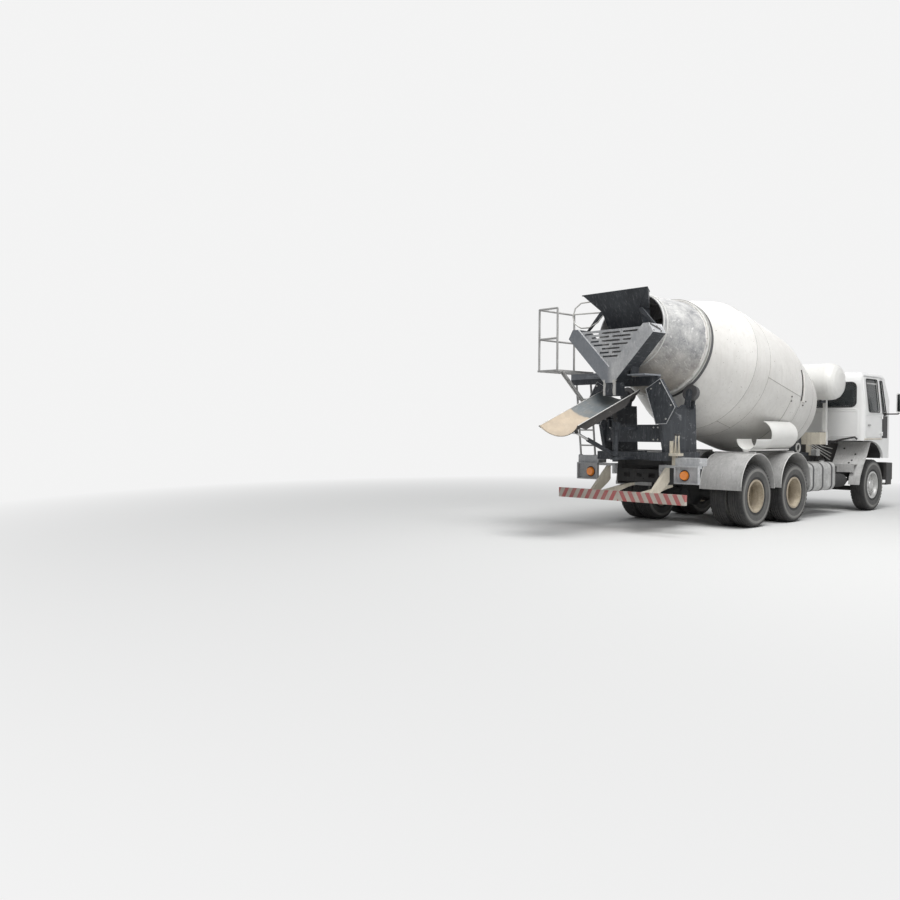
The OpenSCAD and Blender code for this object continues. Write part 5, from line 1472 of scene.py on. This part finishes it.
@dataclass
class RearFrame:
    """Plate edges, bolts, grab bar, hopper rim, lamp rings and lever knobs at the rear."""

    place: Place

    def plates(self) -> None:
        """Flanged edges and bolts of the leaning plates and the cross beam."""
        outline = ((0.34, 2.24), (0.60, 2.39), (0.87, 1.95), (0.72, 1.70), (0.53, 1.69))
        edges = [self.place.many([(-1.953, side.value * y, z) for y, z in outline])
                 for side in BOTH]
        Fasteners.tubes("leaning_plate_edges", edges, 0.006, "chassis", Paint.WING_GREY,
                        "blue_black_paint", True)
        spots = [(self.place.at(-1.785, y, z), Vector((-1, 0, 0)))
                 for y in (-0.46, -0.38, 0.38, 0.46) for z in (1.45, 1.64)]
        spots += [(self.place.at(-1.955, side.value * y, z), Vector((-1, 0, 0)))
                  for side in BOTH
                  for y, z in ((0.60, 2.32), (0.80, 1.98), (0.71, 1.77), (0.44, 2.24))]
        Fasteners.studs("rear_plate_bolts", spots, 0.014, 0.014, *BRIGHT_BARS)

    def hoop(self) -> None:
        """Bent grab bar on the left of the hopper with its cross bar."""
        bar = self.place.many([(-2.13, 0.352, 3.45), (-2.15, 0.45, 3.33), (-2.20, 0.58, 3.25),
                               (-2.24, 0.72, 3.25), (-2.27, 0.83, 3.33), (-2.27, 0.86, 3.45),
                               (-2.25, 0.83, 3.58), (-2.21, 0.74, 3.66), (-2.17, 0.53, 3.67)])
        cross = self.place.many([(-2.27, 0.86, 3.48), (-2.14, 0.375, 3.48)])
        Fasteners.tubes("hopper_grab_bar", [bar, cross], 0.012, *BRIGHT_BARS)

    def hopper_rim(self) -> None:
        """Folded rim round the top of the charge hopper."""
        top = self.place.many([(-2.338, -0.618, 3.752), (-2.338, 0.618, 3.752),
                               (-1.962, 0.398, 3.752), (-1.962, -0.398, 3.752)])
        Fasteners.tubes("hopper_rim", [top], 0.009, "chassis", Paint.DARK_BLUE,
                        "blue_black_paint", True)

    def lamp_parts(self) -> None:
        """Bezel rings of the tail lamps."""
        loops = [arc(self.place.at(-1.716, side.value * 0.90, 0.90), Vector((0, 0.082, 0)),
                     Vector((0, 0, 0.082)), 0, 345, 23) for side in BOTH]
        Fasteners.tubes("tail_lamp_rings", loops, 0.007, *BLACK_TRIM, True)

    def knobs(self) -> None:
        """Ball knobs on the levers."""
        ball = ((0.0, -0.018), (0.010, -0.015), (0.016, -0.007), (0.018, 0.0), (0.016, 0.007),
                (0.010, 0.015), (0.0, 0.018))
        points, faces = Bench.lathe(ball, 14, False)
        parts = []
        for y, lean in ((-0.810, -8), (-0.778, 6), (-0.746, -4), (-0.714, 10)):
            t = math.radians(lean)
            top = self.place.at(-1.715 + 0.30 * math.sin(t), y, 1.230 + 0.30 * math.cos(t))
            parts.append(([p + top for p in points], faces))
        made = Bench.join("lever_knobs", parts)
        Bench.smooth(made)
        Bench.finish(made, *BLACK_TRIM)

    def end_caps(self) -> None:
        """Black slab as painted shade in the slot, and bolts, on the upper end of each funnel wing.
        """
        slots, bolts = [], []
        for side in BOTH:
            s = side.value
            out = Vector((0, 0.868 * s, 0.496))

            def spot(x: float, t: float, lift: float) -> Vector:
                """Point on the end face, t of the way down it."""
                return self.place.at(x, s * (0.72 + 0.08 * t), 3.20 - 0.14 * t) + out * lift

            shape = [spot(-2.440, 0.20, 0.0005), spot(-2.415, 0.02, 0.0005),
                     spot(-2.205, 0.50, 0.0005), spot(-2.215, 0.78, 0.0005)]
            # A thin black slab as the painted shade inside the slot.
            slots.append(Bench.slab(shape, out * 0.0015))
            bolts += [(spot(x, t, 0.003), out)
                      for x, t in ((-2.27, 0.30), (-2.21, 0.80), (-2.235, 0.90), (-2.41, 0.82))]
        Bench.finish(Bench.join("wing_end_slot_shades", slots), *BLACK_TRIM)
        Fasteners.studs("wing_end_bolts", bolts, 0.011, 0.008, "chassis", Paint.CAST, "ring_steel")

    def build(self) -> None:
        """Dresses the rear frame."""
        self.end_caps()
        self.plates()
        self.hoop()
        self.hopper_rim()
        self.lamp_parts()
        self.knobs()


@dataclass
class Chute:
    """Finish, edge bars and skirts of the chute."""

    place: Place
    pivot: Point = (-2.36, 0.0, 1.765)
    upper: float = 0.400
    length: float = 1.650
    half: float = 0.365
    depth: float = 0.170
    drop: float = 0.180
    slope: float = math.radians(20.7)

    @property
    def radius(self) -> float:
        """Outer radius of the trough."""
        return (self.half ** 2 + self.depth ** 2) / (2 * self.depth)

    def at(self, u: float, y: float, w: float) -> Vector:
        """Point u down the chute, y to the left and w above the plane of its rims."""
        x, z = self.upper - u, w + self.depth + self.drop
        c, s = math.cos(self.slope), math.sin(self.slope)
        px, py, pz = self.pivot
        return self.place.at(px + x * c - z * s, py + y, pz + x * s + z * c)

    def coat(self) -> Coat:
        """Dark back, a painted shadow on the inside near the spout, dried concrete further down."""
        high = self.radius - self.depth
        top, low = self.at(0, 0, high), self.at(self.length, 0, high)
        along = (low - top).normalized()

        def inside(g: Graph, at: object) -> object:
            """Share of the trough's inner face."""
            return g.span(g.away(at, along, top), self.radius - 0.003, self.radius - 0.006)

        def crust(g: Graph, at: object) -> object:
            """Share of the inner face beyond the edge of the painted shadow, coated in dried
            concrete.
            """
            far = g.plus(g.along(at, along, top), g.times(g.noise(at, 5.0, 4.0), 0.16))
            return g.times(inside(g, at), g.span(far, 0.94, 0.98))

        # The inner face takes the painted shadow, and dried concrete further down.
        return Coat("chute skin", Paint.CHUTE_DARK, ((inside, Paint.TROUGH_SHADOW),
                                                     (crust, Paint.CONCRETE_TAN)))

    def build(self, nodes: Nodes) -> None:
        """Dresses the chute."""
        Wardrobe.wear(nodes, "chute", self.coat())
        edges = []
        for side in (-1, 1):
            bend = [math.radians(4 + 82 * i / 10) for i in range(11)]
            edges.append([self.at(0.161 - 0.367 * math.cos(t), side * 0.367 * math.sin(t), 0.0)
                          for t in bend if 0.161 - 0.367 * math.cos(t) > 0.004]
                         + [self.at(self.length - 0.004, side * 0.365, 0.0)])
        Fasteners.tubes("chute_edge_bars", edges, 0.008, "chute", Paint.SCOURED, "concrete_coated")
        paired("chute_skirts", ((0.30, -0.002), (1.638, -0.002), (1.638, -0.030), (1.500, -0.115),
                                (0.50, -0.125), (0.36, -0.085)),
               lambda u, w, s: self.at(u, s * 0.3665, w), (0, 0.005),
               "chute", Paint.CHUTE_DARK, "concrete_coated")
        ends, r = [], self.radius - 0.003
        for u, reach in ((0.012, 45.0), (self.length - 0.012, 49.5)):
            turns = [math.radians(reach * (i / 15 - 1)) for i in range(31)]
            ends.append([self.at(u, r * math.sin(t), self.radius - self.depth - r * math.cos(t))
                         for t in turns])
        Fasteners.tubes("chute_end_bands", ends, 0.006, "chute", Paint.CHUTE_DARK,
                        "concrete_coated")


# Finishes of the carried-over solids


class Wardrobe:
    """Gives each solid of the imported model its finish."""

    @staticmethod
    def wear(nodes: Nodes, name: str, coat: Cover) -> None:
        """Puts one material on a node."""
        made = nodes[name]
        material = coat.material()
        if not made.material_slots:
            made.data.materials.append(material)
        for slot in made.material_slots:
            slot.material = material

    @staticmethod
    def plan(place: Place) -> dict[str, Cover]:
        """Finishes by node name."""
        def ahead(g: Graph, at: object, x: float = 0.0) -> Socket:
            """Distance ahead of a place x from the rearmost axle."""
            return g.along(at, Vector((1, 0, 0)), place.at(x, 0, 0))

        def carriers(g: Graph, at: object) -> object:
            """Share of the cream arms ahead of the striped bar."""
            return g.span(ahead(g, at, -2.127), 0.0, 0.002)

        def stripes(g: Graph, at: object) -> object:
            """Share of the red stripes, leaning outwards from the middle."""
            _, y, z = g.split(at)
            slant = g.minus(g.size(y), g.times(z, -0.55))
            wave = g.math("FRACT", g.times(slant, 6.2))
            return g.span(g.size(g.minus(wave, 0.5)), 0.255, 0.235)

        def front_half(g: Graph, at: object) -> object:
            """Share of the front half of the truck."""
            return g.span(ahead(g, at, 2.0), 0.0, 0.1)

        def wing_back(g: Graph, at: object) -> object:
            """Share of the wings' rear faces."""
            return g.span(ahead(g, at), -2.444, -2.448)

        def rear_face(g: Graph, at: object) -> object:
            """Share of the wings' rear faces, their end caps and the guard plate."""
            _, y, z = g.split(at)
            wide = g.size(y)
            tip = g.plus(g.times(wide, 0.868), g.times(z, 0.496))
            inner = g.minus(g.times(g.minus(z, 2.57), 0.984), wide)
            plate = g.times(g.span(ahead(g, at), -2.398, -2.401), g.span(inner, -0.004, 0.0))
            return g.math("MAXIMUM", wing_back(g, at),
                          g.math("MAXIMUM", plate, g.span(tip, 2.208, 2.210)))

        def left_wing_shade(g: Graph, at: object) -> object:
            """Share of the painted shade on the rear face of the left wing and the foot."""
            return g.times(wing_back(g, at), g.span(g.split(at)[1], -0.06, 0.04))

        def splashes(g: Graph, at: object) -> object:
            """Share of the cement on the edges of the spout."""
            _, y, z = g.split(at)
            edge = g.plus(g.size(y), g.times(g.noise(at, 12.0), 0.04))
            low = g.times(g.span(z, 2.385, 2.36), g.span(ahead(g, at), -2.40, -2.43))
            return g.times(low, g.span(edge, 0.085, 0.095))

        def shelf_top(g: Graph, at: object) -> object:
            """Share of the dusty tops of the shelves under the wings."""
            _, y, z = g.split(at)
            top = g.times(g.span(z, 2.436, 2.438), g.span(ahead(g, at), -1.868, -1.872))
            return g.times(top, g.span(g.size(y), 0.20, 0.23))

        def arch_shade_liner(g: Graph, at: object) -> object:
            """Share of the black liner over the front wheels; its black is painted shade inside the
            arch.
            """
            return g.span(ahead(g, at, 4.641), 0.0, 0.002)

        def arms(g: Graph, at: object) -> object:
            """Share of the mirror arms, below the housings."""
            return g.span(g.split(at)[2], 1.989, 1.988)

        def foot(g: Graph, at: object) -> object:
            """Share of the dark lower ends of the fenders."""
            return g.span(g.split(at)[2], 0.60, 0.57)

        def stand(g: Graph, at: object) -> object:
            """Share of the stand below the water tank."""
            far = g.away(at, Vector((0, 1, 0)), place.at(3.72, 0, 2.58))
            return g.span(far, 0.362, 0.364)

        def post(g: Graph, at: object) -> object:
            """Share of the stand's posts, above its channel."""
            return g.times(stand(g, at), g.span(g.split(at)[2], 1.581, 1.583))

        def post_front(g: Graph, at: object) -> object:
            """Share of the white legs of the posts."""
            return g.times(post(g, at), g.span(ahead(g, at, 3.868), 0.0, 0.002))

        def straps(g: Graph, at: object) -> object:
            """Share of the three straps round the fuel tank."""
            gap = g.size(g.minus(g.size(ahead(g, at, 2.585)), 0.1925))
            return g.span(g.size(g.minus(gap, 0.1925)), 0.026, 0.023)

        bar = Coat("striped bar", Paint.STRIPE_PALE, ((stripes, Paint.STRIPE_RED),
                                                      (carriers, Paint.CREAM)))
        # Both lens colours carry the amber finish's faint painted glow.
        lenses = Coat("lamp lenses", Paint.AMBER, ((front_half, Paint.CLEAR_LENS),))
        tank = Coat("water tank", Paint.TANK_WHITE, (
            (stand, Paint.CREAM), (post, Paint.DARK_BLUE), (post_front, Paint.TANK_WHITE)))
        glass = Pane("window glass")
        # The left wing's darker rear face is painted shade.
        funnel = Coat("funnel", Paint.DARK_BLUE, ((rear_face, Paint.WING_GREY),
                                                  (left_wing_shade, Paint.BLUE_SHADE_AND_DUST),
                                                  (splashes, Paint.SPLASH)))
        plan: dict[str, Cover] = {
            "underrun_bar": bar, "lamp_lenses": lenses, "water_tank": tank,
            "discharge_funnel": funnel, "exhaust": Paint.RUSTY, "tail_lamps": Paint.WING_GREY,
            "platform": Paint.FENDER_GREY, "lever_box": Paint.CREAM,
            "spare_chutes": Paint.TANK_WHITE, "cab_interior": Paint.TRIM_DARK,
            "strut_rod": Paint.CHROME, "front_bumper": Paint.BLACK,
            "fuel_tank": Coat("fuel tank", Paint.TANK_METAL, ((straps, Paint.DARK_BAND_AND_SHADE),)),
            # The mudguards' forward part is painted black as shade inside the arch.
            "front_mudguards": Coat("mudguards", Paint.FENDER_GREY, ((arch_shade_liner, Paint.BLACK),)),
            "rear_fenders": Coat("fenders", Paint.FENDER_GREY, ((foot, Paint.FRAME_DARK),)),
            "rear_pedestal": Coat("rear pedestal", Paint.DARK_BLUE, (
                (shelf_top, Paint.BLUE_SHADE_AND_DUST),)),
            "mirrors": Coat("mirrors", Paint.CAB_WHITE, ((arms, Paint.BLACK),))}
        shared = (
            (Paint.FRAME_DARK, "frame_rails subframe front_axle tandem_axles air_tanks "
                               "battery_box knuckle_left knuckle_right"),
            (Paint.CAST, "drive_line engine_block"),
            (Paint.DARK_BLUE, "front_pedestal drum_gearbox charge_hopper chute_swivel "
                              "strut_barrel"),
            (Paint.CAB_WHITE, "cab_shell door_left door_right"),
            (glass, "cab_glass door_glass_left door_glass_right"),
            (Paint.DARK_BAND_AND_SHADE, "roller_left roller_right"),
            (Paint.RIM_BRIGHT, "rim_front_left rim_front_right"),
            (Paint.RIM_CREAM, "rim_mid_left rim_mid_right rim_rear_left rim_rear_right"))
        for finish, names in shared:
            plan.update(dict.fromkeys(names.split(), finish))
        return plan


# Studio


# Name, place, aim, size and power of each lamp
LAMPS = (("sky_lamp", (-3.0, -4.0, 14.0), (0.0, 0.0, 1.5), 7.0, 1500.0),
         ("key_lamp", (-10.0, -10.0, 11.0), (-0.5, 0.0, 1.8), 6.0, 640.0),
         ("front_lamp", (11.0, 8.0, 9.0), (0.0, 0.0, 1.5), 8.0, 380.0))


@dataclass
class Studio:
    """Floor, light and the camera at the photograph's viewpoint."""

    place: Place
    eye: Point = (-13.426, -8.176, 1.565)
    yaw: float = 47.02
    pitch: float = -1.25
    roll: float = 0.32
    focal_px: float = 866.3
    image_px: float = 900.0
    floor_half: float = 60.0
    fade_from: float = 5.5
    fade_to: float = 15.0
    world_power: float = 0.34
    backdrop: Colour = (0.90, 0.90, 0.90)

    def floor(self) -> None:
        """Pale plain floor."""
        h = self.floor_half
        corners = [(x, y, -0.001) for x, y in ((-h, -h), (h, -h), (h, h), (-h, h))]
        made = Bench.raw("floor", corners, [[0, 1, 2, 3]])
        made.data.materials.append(self.pale())

    def pale(self) -> bpy.types.Material:
        """Pale matt floor that fades into the backdrop away from the truck."""
        made = bpy.data.materials.new("floor pale")
        g = Graph.clear(made)
        matt = g.run("ShaderNodeBsdfDiffuse", {"Color": (0.74, 0.74, 0.73)})
        far = g.run("ShaderNodeEmission", {"Color": self.backdrop})
        dist = g.away(g.place(), Vector((0, 0, 1)), Vector((0, 0, 0)))
        share = g.times(self.seen(g), g.span(dist, self.fade_from, self.fade_to))
        mixed = g.run("ShaderNodeMixShader", {0: share, 1: matt.outputs[0], 2: far.outputs[0]})
        g.end(mixed.outputs[0])
        return made

    @staticmethod
    def seen(g: Graph) -> Socket:
        """One for rays from the camera, from mirrors and through glass."""
        rays = g.add("ShaderNodeLightPath")
        return g.math("MAXIMUM", rays.outputs["Is Camera Ray"], g.math(
            "MAXIMUM", rays.outputs["Is Glossy Ray"], rays.outputs["Is Transmission Ray"]))

    def world(self) -> None:
        """Even pale surroundings, shown as near white behind the truck."""
        made = bpy.data.worlds.new("studio")
        bpy.context.scene.world = made
        g = Graph.clear(made)
        soft = g.run("ShaderNodeBackground", {"Color": (0.95, 0.97, 1.0),
                                              "Strength": self.world_power})
        seen = g.run("ShaderNodeBackground", {"Color": self.backdrop})
        mixed = g.run("ShaderNodeMixShader", {0: self.seen(g), 1: soft.outputs[0],
                                              2: seen.outputs[0]})
        g.end(mixed.outputs[0], "ShaderNodeOutputWorld")

    def lamp(self, name: str, at: Point, aim: Point, size: float, power: float) -> None:
        """One soft square lamp."""
        data = bpy.data.lights.new(name, "AREA")
        data.shape = "SQUARE"
        data.size = size
        data.energy = power
        made = placed(name, data)
        made.location = at
        made.rotation_euler = (Vector(aim) - Vector(at)).to_track_quat("-Z", "Y").to_euler()

    def camera(self) -> None:
        """Camera solved from the wheels in the photograph."""
        data = bpy.data.cameras.new("camera")
        data.sensor_width = 36.0
        data.lens = self.focal_px / self.image_px * 36.0
        data.clip_end = 300.0
        made = placed("camera", data)
        yaw, pitch, roll = (math.radians(a) for a in (self.yaw, self.pitch, self.roll))
        ahead = Vector((math.cos(pitch) * math.cos(yaw), math.cos(pitch) * math.sin(yaw),
                        math.sin(pitch)))
        right = Vector((math.sin(yaw), -math.cos(yaw), 0.0))
        up = right.cross(ahead)
        right, up = (right * math.cos(roll) + up * math.sin(roll),
                     up * math.cos(roll) - right * math.sin(roll))
        turn = Matrix((right, up, -ahead)).transposed().to_4x4()
        made.matrix_world = Matrix.Translation(self.place.at(*self.eye)) @ turn
        bpy.context.scene.camera = made

    def build(self) -> None:
        """Sets the stage."""
        self.camera()
        self.floor()
        self.world()
        for lamp in LAMPS:
            self.lamp(*lamp)
        bpy.context.scene.view_settings.view_transform = "Standard"


def main() -> None:
    """Builds and dresses the truck, piece by piece."""
    logging.basicConfig(level=logging.INFO, format="%(message)s")
    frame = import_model()
    low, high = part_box("tyre_rear_left")
    place = Place((low.x + high.x) / 2)
    nodes: Nodes = frame["nodes"]
    Studio(place).build()
    for name, coat in Wardrobe.plan(place).items():
        Wardrobe.wear(nodes, name, coat)
    Wheels(place).build()
    Drum(DrumAxis(place)).build(nodes)
    Cab(place).build()
    Chassis(place).build()
    RearFrame(place).build()
    Chute(place).build(nodes)
    LOG.info("sizes written")


if __name__ == "__main__":
    main()
